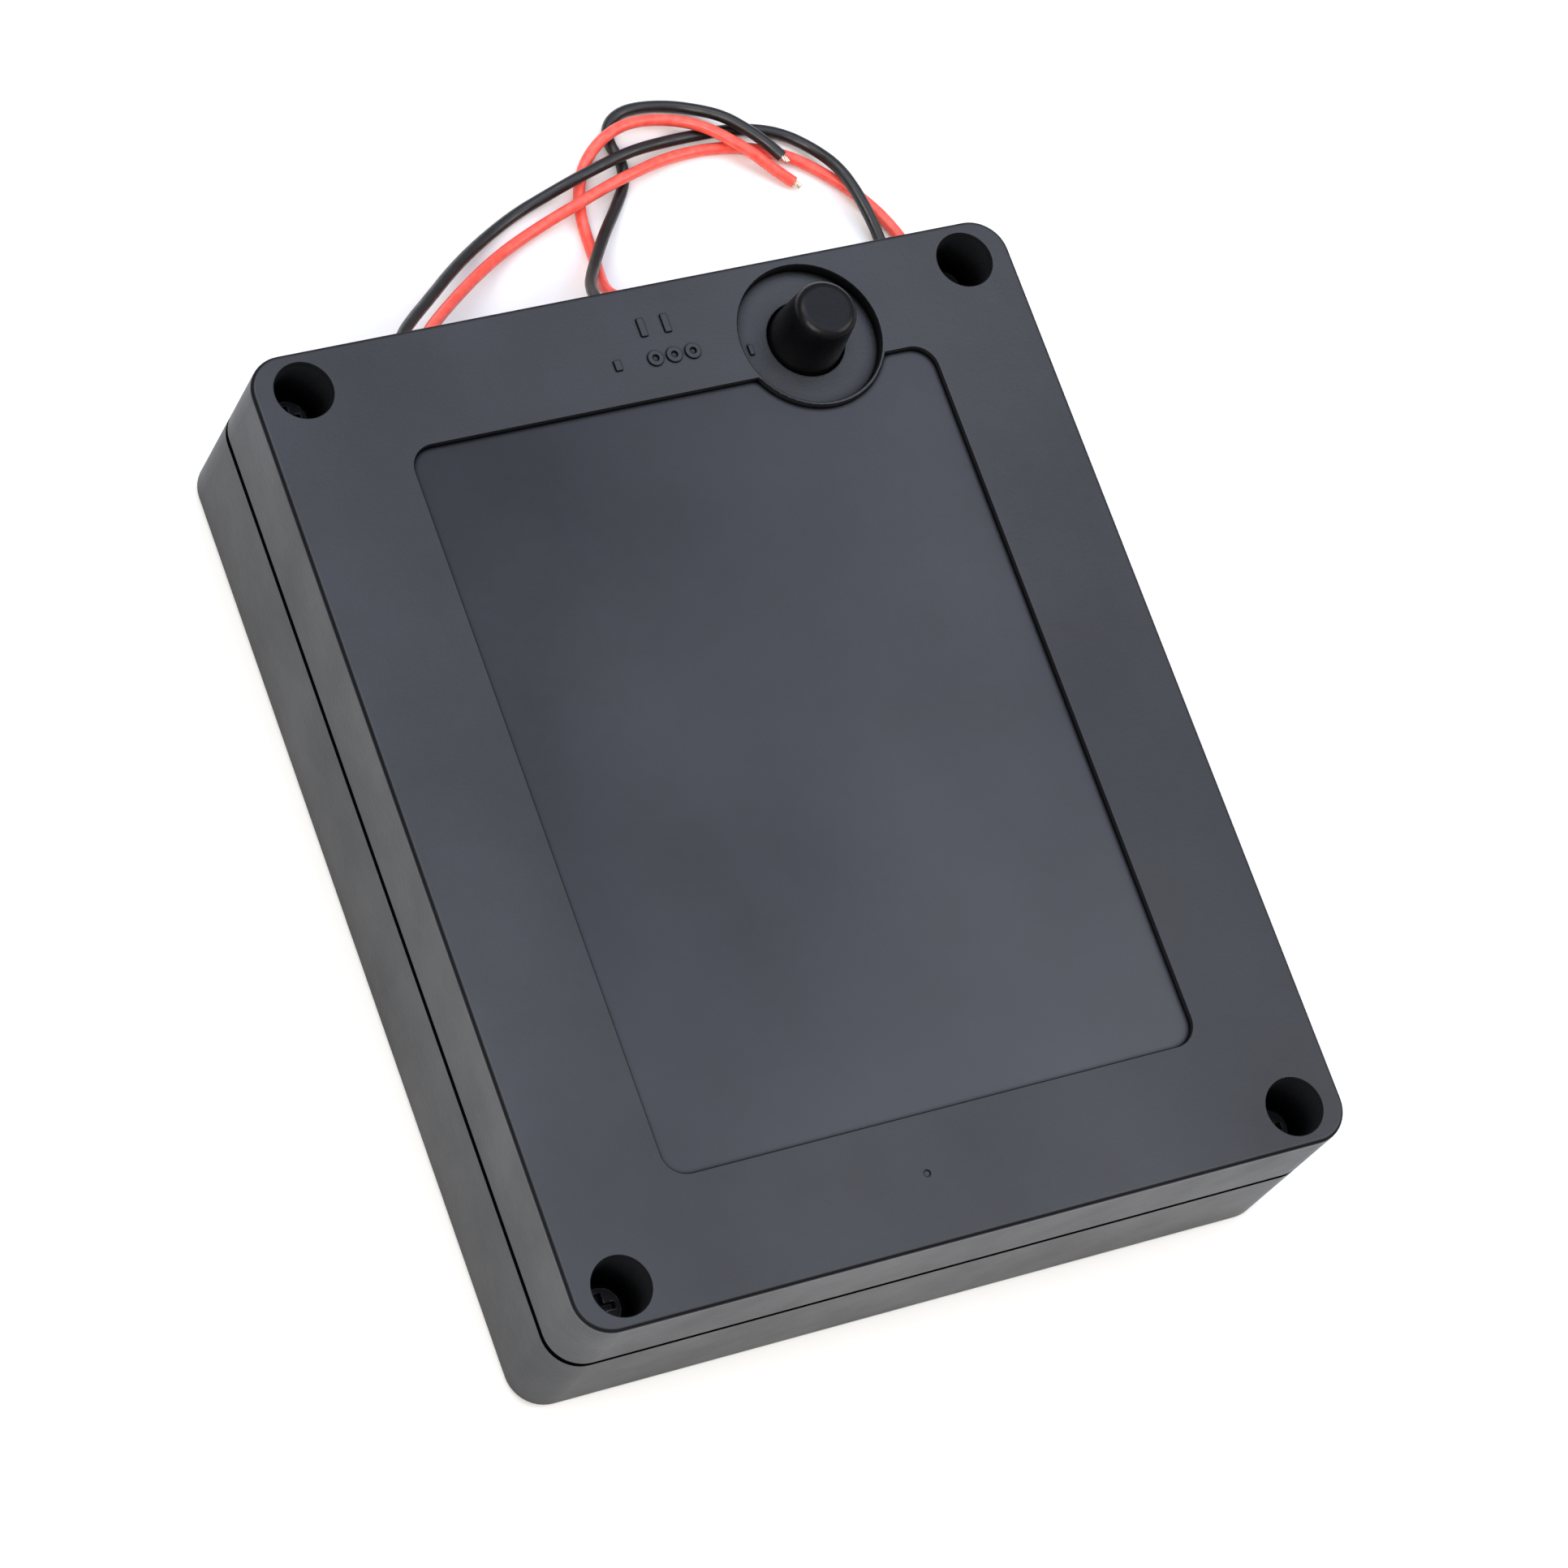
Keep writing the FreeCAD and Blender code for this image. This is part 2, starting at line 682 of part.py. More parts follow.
# ---------------------------------------------------------------- push button and switch
def turned_body(label, corners, x="switch_x", y="switch_y", z="0", axis=UP):
    """A round part: its half profile, as radius and height, turned about its axis."""
    part = body(label)
    profile = sketch_on(part, f"{label}_profile", role="XZ_Plane")
    draw_polygon(profile, corners)
    revolve(part, profile)
    place(part, x, y, z, axis)
    return part


def switch_button():
    """Tapered button with a retaining collar under the cover and a socket for the stem."""
    top = "ring_top + button_height"
    collar_base = "collar_top - collar_thickness"
    socket_base = "collar_top - collar_thickness - stem_socket_depth"
    bore = "stem_radius + hole_play"
    socket = "stem_radius + hole_play + stem_socket_wall"
    part = turned_body("switch_button", [
        ("0", "collar_top"),
        (bore, "collar_top"),
        (bore, socket_base),
        (socket, socket_base),
        (socket, collar_base),
        ("collar_radius", collar_base),
        ("collar_radius", "collar_top"),
        ("button_radius", "collar_top"),
        ("button_radius", "ring_top"),
        ("button_top_radius", top),
        ("0", top),
    ])
    round_edges(part, "button_round", "button_top_radius / 3", flat_at(size(top)))


def switch_plunger():
    foot_top = "switch_top - switch_roof - foot_gap"
    stem_top = "collar_top - hole_play"
    turned_body("switch_plunger", [
        ("0", f"{foot_top} - foot_thickness"),
        ("foot_radius", f"{foot_top} - foot_thickness"),
        ("foot_radius", foot_top),
        ("stem_radius", foot_top),
        ("stem_radius", stem_top),
        ("0", stem_top),
    ])


def switch_spring():
    """Compression spring between the switch's base and the plunger's foot."""
    radius = size("spring_radius")
    wire_radius = size("spring_wire / 2")
    low = size("board_top + switch_base") + 2 * wire_radius
    high = size("switch_top - switch_roof - foot_gap - foot_thickness") - 2 * wire_radius
    pitch = (high - low) / SPRING_TURNS
    helix = Part.makeHelix(pitch, high - low, radius)
    heading = FreeCAD.Vector(0, 2 * math.pi * radius, pitch).normalize()
    section = Part.Wire(Part.makeCircle(wire_radius, FreeCAD.Vector(radius, 0, 0), heading))
    spring = doc.addObject("Part::Feature", "switch_spring")
    spring.Shape = Part.Wire(helix).makePipeShell([section], True, True)
    spring.Placement.Base = FreeCAD.Vector(size("switch_x"), size("switch_y"), low)
    keep(spring, "switch_spring")


def switch_housing():
    part = body("switch_housing")
    centre = [("0", "0")]
    half = "switch_side / 2"
    outside = sketch_on(part, "housing_outside", level="board_top + switch_base")
    draw_rounded_box(outside, f"-1 * {half}", half, f"-1 * {half}", half, "switch_base")
    pad(part, outside, "switch_height - switch_base")
    bore = sketch_on(part, "housing_bore", level="board_top + switch_base")
    draw_circles(bore, centre, "switch_bore")
    pocket(part, bore, "switch_height - switch_base - switch_roof", reverse=True)
    mouth = sketch_on(part, "housing_mouth", level="switch_top")
    draw_circles(mouth, centre, "stem_radius + foot_gap")
    pocket(part, mouth, "2 * switch_roof")
    place(part, "switch_x", "switch_y")


def switch_base():
    side = "switch_side"
    keep(box("switch_base", side, side, "switch_base", "switch_x", "switch_y", "board_top"), "switch_base")


# ---------------------------------------------------------------- circuit board
def circuit_board():
    """Board with its corners cut away round the cover's screw posts."""
    part = body("circuit_board")
    corners = []
    for sx, sy, turn in ((1, -1, 0), (1, 1, 1), (-1, 1, 0), (-1, -1, 1)):
        end = (f"{sx} * board_notch_x", f"{sy} * board_half_length")
        inner = (f"{sx} * board_notch_x", f"{sy} * board_notch_y")
        side = (f"{sx} * board_half_width", f"{sy} * board_notch_y")
        corners += [side, inner, end] if turn else [end, inner, side]
    outline = sketch_on(part, "board_outline", level="board_base")
    draw_polygon(outline, corners)
    draw_circles(outline, four_places("post_x", "post_y"), "board_screw_radius + 4 * hole_play")
    pad(part, outline, "board_thickness")


def board_screws():
    sizes = ("board_screw_head", "board_thickness", "board_screw_radius", "post_height")
    screws = []
    for number, (x, y) in enumerate(four_places("post_x", "post_y"), start=1):
        screws.append(pan_screw(f"board_{number}", *sizes, x, y, "board_top"))
    group("board_screws", screws)


def transformer(label):
    """Laminated core with two windows, a flanged former on its middle leg, and a winding."""
    def own(key):
        return f"{label}_{key}"

    x, y = own("x"), own("y")
    width, length, stack = own("width"), own("length"), own("stack")
    leg, side = own("leg"), own("side")
    former, flange, winding = own("former"), own("flange"), own("winding")
    play = "4 * hole_play"
    window = f"( {width} - {leg} - 2 * {side} ) / 2"
    window_length = f"{length} - 2 * {side}"
    tube_width = f"{leg} + {play} + 2 * {former}"
    tube_height = f"{stack} + {play} + 2 * {former}"
    flange_width = f"{leg} + 2 * {window} - 3 * {play}"
    flange_height = f"{tube_height} + 2 * {winding} + {play}"
    middle = f"board_top + ( {flange_height} ) / 2"
    inner_length = f"{window_length} - {play}"

    def level(height):
        return f"{middle} - ( {height} ) / 2"

    frame = box(f"{label}_frame", width, length, stack, x, y, level(stack))
    windows = []
    for sign in ("+", "-"):
        centre = f"{x} {sign} ( {leg} + {window} ) / 2"
        windows.append(box(f"{label}_window", window, window_length, stack, centre, y, level(stack)))
    keep(cut(f"{label}_iron", frame, fuse(f"{label}_windows", windows)), f"{label}_core")

    tube = box(f"{label}_tube", tube_width, inner_length, tube_height, x, y, level(tube_height))
    cheeks = []
    for sign in ("+", "-"):
        centre = f"{y} {sign} ( {inner_length} - {flange} ) / 2"
        low = level(flange_height)
        cheeks.append(box(f"{label}_cheek", flange_width, flange, flange_height, x, centre, low))
    bore_height = f"{stack} + {play}"
    bore = box(f"{label}_bore", f"{leg} + {play}", length, bore_height, x, y, level(bore_height))
    keep(cut(f"{label}_spool", fuse(f"{label}_cheeks", [tube, *cheeks]), bore), f"{label}_former")

    coil_width = f"{tube_width} + 2 * {winding}"
    coil_height = f"{tube_height} + 2 * {winding}"
    coil_length = f"{inner_length} - 2 * {flange}"
    coil = box(f"{label}_coil", coil_width, coil_length, coil_height, x, y, level(coil_height))
    hollow = box(f"{label}_hollow", tube_width, length, tube_height, x, y, level(tube_height))
    keep(cut(f"{label}_turns", coil, hollow), f"{label}_winding")


def storage_capacitor():
    part = body("storage_capacitor")
    half_width = "capacitor_width / 2"
    half_depth = "capacitor_depth / 2"
    block = sketch_on(part, "capacitor_block", level="board_top")
    draw_rounded_box(block, f"-1 * {half_width}", half_width, f"-1 * {half_depth}", half_depth, "edge_round")
    pad(part, block, "capacitor_height")
    place(part, "capacitor_x", "capacitor_y")


def smoothing_capacitors():
    cans = []
    for number in (1, 2):
        y = f"can_y + {number} * can_pitch"
        can = cylinder(f"can_{number}", "can_radius", "can_height", "can_x", y, "board_top")
        crimp = doc.addObject("Part::Torus", f"crimp_{number}")
        bind(crimp, Radius1="1.04 * can_radius", Radius2="0.12 * can_radius")
        place(crimp, "can_x", y, "board_top + 0.12 * can_height")
        cans.append(cut(f"can_crimped_{number}", can, crimp))
    group("smoothing_capacitors", cans)


def power_device(label, x, y, base):
    """Flat transistor package: metal tab with its hole, moulded body and three bent legs."""
    tab = box(f"{label}_tab", "tab_width", "tab_length", "tab_thickness", x, y, base)
    end_y = f"{y} - tab_length / 2"
    body_y = f"{end_y} + device_length / 2"
    block = box(f"{label}_block", "tab_width", "device_length", "device_height", x, body_y, base)
    legs = []
    for number in (-1, 0, 1):
        leg_x = f"{x} + {number} * leg_pitch"
        level = f"{base} + leg_height"
        reach_y = f"{end_y} - leg_reach / 2"
        legs.append(box(f"{label}_reach", "leg_width", "leg_reach", "leg_width", leg_x, reach_y, level))
        down_y = f"{end_y} - leg_reach + leg_width / 2"
        drop = f"{level} - board_top + leg_width"
        legs.append(box(f"{label}_down", "leg_width", "leg_width", drop, leg_x, down_y, "board_top"))
    solid = fuse(f"{label}_solid", [tab, block, *legs])
    keep(cut(f"{label}_device", solid, tab_hole(label, x, y, base)), label)


def tab_hole(name, x, y, base):
    """The bore for a device's screw, near the free end of its tab."""
    hole_y = f"{y} + tab_length / 2 - tab_hole"
    radius = "device_screw + 2 * hole_play"
    return cylinder(f"{name}_hole", radius, "device_height", x, hole_y, base)


def heat_sink():
    """Channel that carries the discharge thyristor, with its screw."""
    x, y = "sink_x", "sink_y"
    plate = box("sink_plate", "sink_width", "sink_length", "sink_gauge", x, y, "board_top")
    fins = []
    for sign in ("+", "-"):
        fin_x = f"{x} {sign} ( sink_width - sink_gauge ) / 2"
        fins.append(box("sink_fin", "sink_gauge", "sink_length", "sink_height", fin_x, y, "board_top"))
    channel = fuse("sink_channel", [plate, *fins])
    keep(cut("sink_drilled", channel, tab_hole("sink", x, y, "board_top")), "heat_sink")
    power_device("discharge_thyristor", x, y, "board_top + sink_gauge")
    sizes = ("2 * device_screw", "device_screw_head", "device_screw", "device_screw_length")
    hole_y = f"{y} + tab_length / 2 - tab_hole"
    seat = "board_top + sink_gauge + tab_thickness"
    keep(pan_screw("sink", *sizes, x, hole_y, seat), "heat_sink_screw")


def axial_part(name, x, y, number=0, along=RIGHT):
    """A round component that lies above the board on its two bent wire leads."""
    radius, length = f"{name}_radius", f"{name}_length"
    height = f"board_top + {radius} + foot_gap"
    across = along is RIGHT
    places = []
    for sign in ("-", "+"):
        offset = f"{sign} {length} / 2 {sign} wire_reach"
        places.append((f"{x} {offset}", y) if across else (x, f"{y} {offset}"))
    middle = (f"{x} - {length} / 2", y) if across else (x, f"{y} - {length} / 2")
    core = cylinder(f"{name}_core_{number}", radius, length, *middle, height, along)
    wire_length = f"{length} + 2 * wire_reach"
    pieces = [core, cylinder(f"{name}_wire_{number}", "wire_radius", wire_length, *places[0], height, along)]
    for place_x, place_y in places:
        drop = f"{height} - board_top"
        pieces.append(cylinder(f"{name}_leg", "wire_radius", drop, place_x, place_y, "board_top"))
        knee = doc.addObject("Part::Sphere", f"{name}_knee")
        bind(knee, Radius="wire_radius")
        pieces.append(place(knee, place_x, place_y, height))
    return fuse(f"{name}_axial_{number}", pieces)


def small_parts():
    """Rows of diodes and resistors, the reverse polarity diode and the surge arrester."""
    diodes = [axial_part("diode", "diode_x", f"diode_y - {i} * diode_pitch", i) for i in range(4)]
    group("rectifier_diodes", diodes)
    row = [axial_part("resistor", "resistor_x", f"resistor_y - {i} * resistor_pitch", i) for i in range(5)]
    group("resistors", row)
    keep(axial_part("guard", "guard_x", "guard_y", along=REAR), "polarity_diode")
    keep(axial_part("arrester", "arrester_x", "arrester_y"), "surge_arrester")


def input_fuse():
    """Glass fuse along X: the tube, its two end caps and the two spring clips that hold them."""
    height = "board_top + fuse_radius + fuse_lift"
    start = "fuse_x - fuse_length / 2"
    tube_start = f"{start} + fuse_cap"
    tube_length = "fuse_length - 2 * fuse_cap"
    tube_radius = "fuse_radius - 4 * hole_play"
    tube = cylinder("fuse_tube", tube_radius, tube_length, tube_start, "fuse_y", height, RIGHT)
    keep(tube, "input_fuse")
    caps = []
    clips = []
    for number, x in enumerate((start, f"{start} + fuse_length - fuse_cap"), start=1):
        caps.append(cylinder(f"fuse_cap_{number}", "fuse_radius", "fuse_cap", x, "fuse_y", height, RIGHT))
        clips.append(fuse_clip(number, x, height))
    group("fuse_caps", caps)
    group("fuse_clips", clips)


def fuse_clip(number, x, height):
    """A block with a round seat for the cap, open at the top."""
    centre = f"{x} + fuse_cap / 2"
    width = "2 * fuse_radius + 2 * clip_wall"
    sizes = ("0.8 * fuse_cap", width, "clip_height")
    block = box(f"clip_block_{number}", *sizes, centre, "fuse_y", "board_top")
    seat_radius = "fuse_radius + hole_play"
    seat = cylinder(f"clip_seat_{number}", seat_radius, "fuse_cap", x, "fuse_y", height, RIGHT)
    mouth_width = "1.6 * fuse_radius"
    mouth = box(f"clip_mouth_{number}", "fuse_cap", mouth_width, "clip_height", centre, "fuse_y", height)
    return cut(f"clip_{number}", block, fuse(f"clip_gap_{number}", [seat, mouth]))


def controller_chip():
    """Eight-pin package that stands on its pins."""
    x, y = "chip_x", "chip_y"
    lift = "board_top + chip_lift"
    pieces = [box("chip_block", "chip_width", "chip_depth", "chip_height", x, y, lift)]
    for column in range(4):
        for sign in ("+", "-"):
            pin_x = f"{x} + ( {column} - 1.5 ) * leg_pitch"
            pin_y = f"{y} {sign} ( chip_depth + pin_depth / 2 ) / 2"
            pieces.append(box("chip_pin", "pin_width", "pin_depth", "pin_height", pin_x, pin_y, "board_top"))
    keep(fuse("chip_solid", pieces), "controller_chip")


# ---------------------------------------------------------------- leads
def lead_entry(name):
    """What holds one pair of leads: grommet, tie, terminal block and its clamp screws."""
    exit_x = f"{name}_exit_x"
    flange_base = "-1 * wall - grommet_flange_thickness"
    grommet = turned_body(f"{name}_grommet", [
        ("0", flange_base),
        ("grommet_flange", flange_base),
        ("grommet_flange", "-1 * wall"),
        ("grommet_neck", "-1 * wall"),
        ("grommet_neck", "0"),
        ("grommet_flange", "0"),
        ("grommet_flange", "grommet_flange_thickness / 3"),
        ("grommet_neck", "grommet_flange_thickness"),
        ("0", "grommet_flange_thickness"),
    ], exit_x, "half_length", "exit_height", REAR)
    outer_face = flat_at(size("-1 * wall - grommet_flange_thickness"))
    round_edges(grommet, f"{name}_grommet_round", "grommet_flange_thickness / 2", outer_face)
    bores = sketch_on(grommet, f"{name}_bores", level="grommet_flange_thickness")
    pair = [("lead_half_pitch", "0"), ("-1 * lead_half_pitch", "0")]
    draw_circles(bores, pair, "lead_radius + hole_play")
    pocket(grommet, bores, "wall + 2 * grommet_flange_thickness")

    tie = body(f"{name}_tie")
    loop = sketch_on(tie, f"{name}_loop")
    for gap in ("hole_play", "hole_play + tie_thickness"):
        tall = f"lead_radius + {gap}"
        wide = f"lead_half_pitch + lead_radius + {gap}"
        sides = (f"-1 * ( {wide} )", wide, f"-1 * ( {tall} )", tall)
        draw_rounded_box(loop, *sides, f"lead_radius + {gap} - hole_play")
    pad(tie, loop, "tie_width")
    place(tie, exit_x, "tie_y", "exit_height", REAR)

    middle_y = "connector_back - connector_depth / 2"
    sides = ("connector_width", "connector_depth", "connector_height")
    block = box(f"{name}_block", *sides, exit_x, middle_y, "board_top")
    grip_y = "connector_back - connector_grip"
    grip_radius = "lead_radius + hole_play"
    seat = "board_top + connector_height - clamp_depth"
    holes = []
    clamps = []
    for sign in ("+", "-"):
        x = f"{exit_x} {sign} lead_half_pitch"
        grip = cylinder(f"{name}_grip", grip_radius, "connector_depth", x, grip_y, "exit_height", REAR)
        well = cylinder(f"{name}_well", "clamp_radius + 2 * hole_play", "clamp_depth", x, middle_y, seat)
        holes += [grip, well]
        screw = cylinder(f"{name}_clamp", "clamp_radius", "clamp_height", x, middle_y, seat)
        slot_floor = f"{seat} + clamp_height - clamp_slot"
        slot = box(f"{name}_slot", "clamp_slot", "2 * clamp_depth", "clamp_height", x, middle_y, slot_floor)
        clamps.append(cut(f"{name}_clamp_screw", screw, slot))
    keep(cut(f"{name}_terminal", block, fuse(f"{name}_terminal_holes", holes)), f"{name}_connector")
    return clamps


def inner_lead(name, exit_x, sign):
    """The straight stretch of a lead from its terminal to the grommet's outer face."""
    start = "connector_back - connector_grip"
    length = "half_length + grommet_flange_thickness - connector_back + connector_grip"
    x = f"{exit_x} {sign} lead_half_pitch"
    keep(cylinder(f"{name}_run", "lead_radius", length, x, start, "exit_height", REAR), f"{name}_inner")


def lead_path(points):
    """Straight runs joined by tangent arcs, each arc as large as its two runs allow."""
    edges = []
    radii = []
    here = points[0]
    for index in range(1, len(points) - 1):
        corner = points[index]
        back = points[index - 1] - corner
        ahead = points[index + 1] - corner
        turn = math.pi - back.getAngle(ahead)
        reach = 0.45 * min(back.Length, ahead.Length)
        radii.append(reach / math.tan(turn / 2))
        back.normalize()
        ahead.normalize()
        enter = corner + back * reach
        leave = corner + ahead * reach
        bisector = (back + ahead).normalize()
        depth = radii[-1] / math.cos(turn / 2) - radii[-1]
        edges.append(Part.LineSegment(here, enter).toShape())
        edges.append(Part.Arc(enter, corner + bisector * depth, leave).toShape())
        here = leave
    edges.append(Part.LineSegment(here, points[-1]).toShape())
    return Part.Wire(edges), radii


def free_lead(name, route):
    """The lead's free length on the table behind the case, and its stripped end."""
    radius = size("lead_radius")
    points = [FreeCAD.Vector(*point) for point in route]
    path, radii = lead_path(points)
    heading = (points[1] - points[0]).normalize()
    section = Part.Wire(Part.makeCircle(radius, points[0], heading))
    tube = doc.addObject("Part::Feature", name)
    tube.Shape = Part.makeSolid(path.makePipeShell([section], True, False))
    expected = math.pi * radius ** 2 * path.Length
    if abs(tube.Shape.Volume - expected) > 0.002 * expected:
        raise RuntimeError(f"{name} has volume {tube.Shape.Volume}, not {expected}")
    keep(tube, name)
    end_heading = (points[-1] - points[-2]).normalize()
    tip = doc.addObject("Part::Feature", f"{name}_tip")
    tip.Shape = Part.makeCylinder(size("tip_radius"), size("tip_length"), points[-1], end_heading)
    keep(tip, f"{name}_tip")
    text = " ".join(f"{value:.1f}" for value in radii)
    print(f"{name}: length {path.Length:.1f}, radii {text}")


# ---------------------------------------------------------------- build and write
def check_document():
    """Stop on any failed object or bad shape."""
    for thing in doc.Objects:
        if "Invalid" in thing.State or "Error" in thing.State:
            raise RuntimeError(f"{thing.Name} failed: {thing.State}")
    for node in nodes:
        if node.Shape.isNull() or not node.Shape.isValid() or not node.Shape.Solids:
            raise RuntimeError(f"{node.Label} has no valid solid")


def main():
    bottom_case()
    top_cover()
    case_seal()
    cover_screws()
    switch_button()
    switch_plunger()
    switch_spring()
    switch_housing()
    switch_base()
    circuit_board()
    board_screws()
    for label in TRANSFORMERS:
        transformer(label)
    storage_capacitor()
    smoothing_capacitors()
    heat_sink()
    power_device("inverter_transistor", "device_x", "device_y", "board_top")
    small_parts()
    input_fuse()
    controller_chip()
    group("connector_screws", lead_entry("output") + lead_entry("input"))
    for name, route in ROUTES.items():
        pair = name.split("_")[0]
        sign = "-" if route[0][0] < size(f"{pair}_exit_x") else "+"
        inner_lead(name, f"{pair}_exit_x", sign)
        free_lead(name, route)
    doc.recompute()
    check_document()
    os.makedirs("parts", exist_ok=True)
    for node in nodes:
        node.Shape.exportStep(f"parts/{node.Label}.step")
        solids = len(node.Shape.Solids)
        print(f"{node.Label}: {solids} solid(s), {node.Shape.Volume:.1f} mm3")


main()
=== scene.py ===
import json
import math

import bmesh
import bpy
from mathutils import Matrix, Vector


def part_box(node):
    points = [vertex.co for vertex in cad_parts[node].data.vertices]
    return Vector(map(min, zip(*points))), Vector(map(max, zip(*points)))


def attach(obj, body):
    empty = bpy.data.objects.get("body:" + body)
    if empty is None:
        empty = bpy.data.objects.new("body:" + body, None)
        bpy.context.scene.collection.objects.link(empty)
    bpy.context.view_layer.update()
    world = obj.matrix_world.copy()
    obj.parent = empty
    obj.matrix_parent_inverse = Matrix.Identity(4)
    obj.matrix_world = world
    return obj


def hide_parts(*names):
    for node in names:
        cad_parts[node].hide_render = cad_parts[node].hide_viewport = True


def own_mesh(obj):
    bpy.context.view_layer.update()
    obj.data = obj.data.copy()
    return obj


# Fence energizer, metres, in the row frame: +X right, +Y to the rear wall, +Z up,
# origin at the centre of the case's base.

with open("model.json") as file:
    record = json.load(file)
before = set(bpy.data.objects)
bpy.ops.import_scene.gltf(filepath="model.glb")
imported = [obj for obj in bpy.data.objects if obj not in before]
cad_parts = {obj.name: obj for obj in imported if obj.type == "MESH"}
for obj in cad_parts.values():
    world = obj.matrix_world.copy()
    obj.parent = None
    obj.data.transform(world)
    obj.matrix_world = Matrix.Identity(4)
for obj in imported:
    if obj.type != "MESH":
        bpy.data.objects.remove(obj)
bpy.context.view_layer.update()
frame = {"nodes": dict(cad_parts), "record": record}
nodes = frame["nodes"]

# ---------------------------------------------------------------- camera and cords
# The photograph's view: where the camera looks, from how far, and how it is tilted.
CAMERA_AIM = (0.0031, 0.0008, 0.0149)
CAMERA_DISTANCE = 0.782
CAMERA_AZIMUTH = -56.07
CAMERA_ELEVATION = 60.78
CAMERA_ROLL = 39.23
CAMERA_LENS = 143.85

LEAD_DIAMETER = 0.0016
# Control points of each free lead, from its grommet to its cut end.
ROUTES = {
    "output_lead_black": [
        (-0.0246, 0.0659, 0.0120), (-0.0246, 0.0687, 0.0120), (-0.0236, 0.0714, 0.0108),
        (-0.0204, 0.0743, 0.0089), (-0.0159, 0.0778, 0.0065), (-0.0107, 0.0820, 0.0039),
        (-0.0048, 0.0860, 0.0016), (0.0015, 0.0893, 0.0008), (0.0064, 0.0908, 0.0015),
        (0.0104, 0.0918, 0.0027), (0.0149, 0.0931, 0.0028), (0.0197, 0.0944, 0.0027),
        (0.0249, 0.0954, 0.0014), (0.0299, 0.0958, 0.0008), (0.0343, 0.0958, 0.0008),
        (0.0387, 0.0952, 0.0008), (0.0427, 0.0937, 0.0008), (0.0460, 0.0907, 0.0011),
        (0.0478, 0.0867, 0.0027), (0.0491, 0.0822, 0.0027), (0.0502, 0.0779, 0.0015),
        (0.0506, 0.0743, 0.0008), (0.0496, 0.0713, 0.0008), (0.0473, 0.0692, 0.0008),
    ],
    "output_lead_red": [
        (-0.0214, 0.0659, 0.0120), (-0.0214, 0.0686, 0.0120), (-0.0200, 0.0712, 0.0106),
        (-0.0167, 0.0740, 0.0085), (-0.0121, 0.0775, 0.0060), (-0.0070, 0.0811, 0.0035),
        (-0.0010, 0.0847, 0.0013), (0.0055, 0.0872, 0.0015), (0.0097, 0.0883, 0.0027),
        (0.0143, 0.0899, 0.0028), (0.0191, 0.0913, 0.0027), (0.0246, 0.0930, 0.0014),
        (0.0296, 0.0936, 0.0008), (0.0341, 0.0933, 0.0008), (0.0384, 0.0922, 0.0008),
        (0.0423, 0.0904, 0.0008), (0.0456, 0.0877, 0.0008), (0.0487, 0.0845, 0.0008),
        (0.0514, 0.0809, 0.0008), (0.0533, 0.0769, 0.0008), (0.0543, 0.0730, 0.0008),
        (0.0544, 0.0698, 0.0008),
    ],
    "input_lead_black": [
        (0.0044, 0.0659, 0.0120), (0.0044, 0.0687, 0.0120), (0.0043, 0.0715, 0.0102),
        (0.0052, 0.0746, 0.0076), (0.0073, 0.0776, 0.0056), (0.0098, 0.0808, 0.0041),
        (0.0126, 0.0842, 0.0026), (0.0158, 0.0877, 0.0012), (0.0182, 0.0908, 0.0008),
        (0.0190, 0.0939, 0.0008), (0.0181, 0.0966, 0.0008), (0.0186, 0.0993, 0.0008),
        (0.0209, 0.1010, 0.0008), (0.0242, 0.1013, 0.0008), (0.0282, 0.1007, 0.0008),
        (0.0316, 0.0992, 0.0014), (0.0344, 0.0970, 0.0027), (0.0369, 0.0945, 0.0028),
        (0.0390, 0.0921, 0.0027), (0.0405, 0.0897, 0.0026),
    ],
    "input_lead_red": [
        (0.0076, 0.0659, 0.0120), (0.0076, 0.0685, 0.0120), (0.0075, 0.0710, 0.0103),
        (0.0074, 0.0736, 0.0071), (0.0087, 0.0769, 0.0039), (0.0099, 0.0807, 0.0017),
        (0.0104, 0.0844, 0.0008), (0.0107, 0.0880, 0.0008), (0.0119, 0.0918, 0.0008),
        (0.0139, 0.0950, 0.0013), (0.0166, 0.0970, 0.0027), (0.0202, 0.0984, 0.0027),
        (0.0243, 0.0989, 0.0016), (0.0281, 0.0981, 0.0016), (0.0311, 0.0961, 0.0027),
        (0.0338, 0.0937, 0.0028), (0.0363, 0.0913, 0.0027), (0.0390, 0.0889, 0.0015),
        (0.0416, 0.0865, 0.0009),
    ],
}

# A lead's spline: steps round a quarter of its section, and along each span.
LEAD_BEVEL_STEPS = 6
LEAD_SPAN_STEPS = 10

# Round wires are closed tubes with this many sides.
TUBE_SIDES = 10

# Stripped ends: fine strands, with all the others laid round the first.
STRAND_COUNT = 7
STRAND_RADIUS = 0.00015
STRAND_SLACK = 0.97
STRAND_LAY = 0.0045
STRAND_LENGTH = 0.0011
STRAND_STAGGER = 0.00012
STRAND_SINK = 0.0004
STRAND_STEPS = 16

# The button's return spring: its wire, its turns and their steps, and how many wire radii the wire's
# centre keeps from each end.
SPRING_WIRE_RADIUS = 0.000175
SPRING_TURNS = 4
SPRING_STEPS = 24
SPRING_END_GAP = 1.2


def direction(azimuth, elevation):
    """Unit vector from the object towards a viewer or a lamp at these angles in degrees."""
    a = math.radians(azimuth)
    e = math.radians(elevation)
    return Vector((math.sin(a) * math.cos(e), -math.cos(a) * math.cos(e), math.sin(e)))


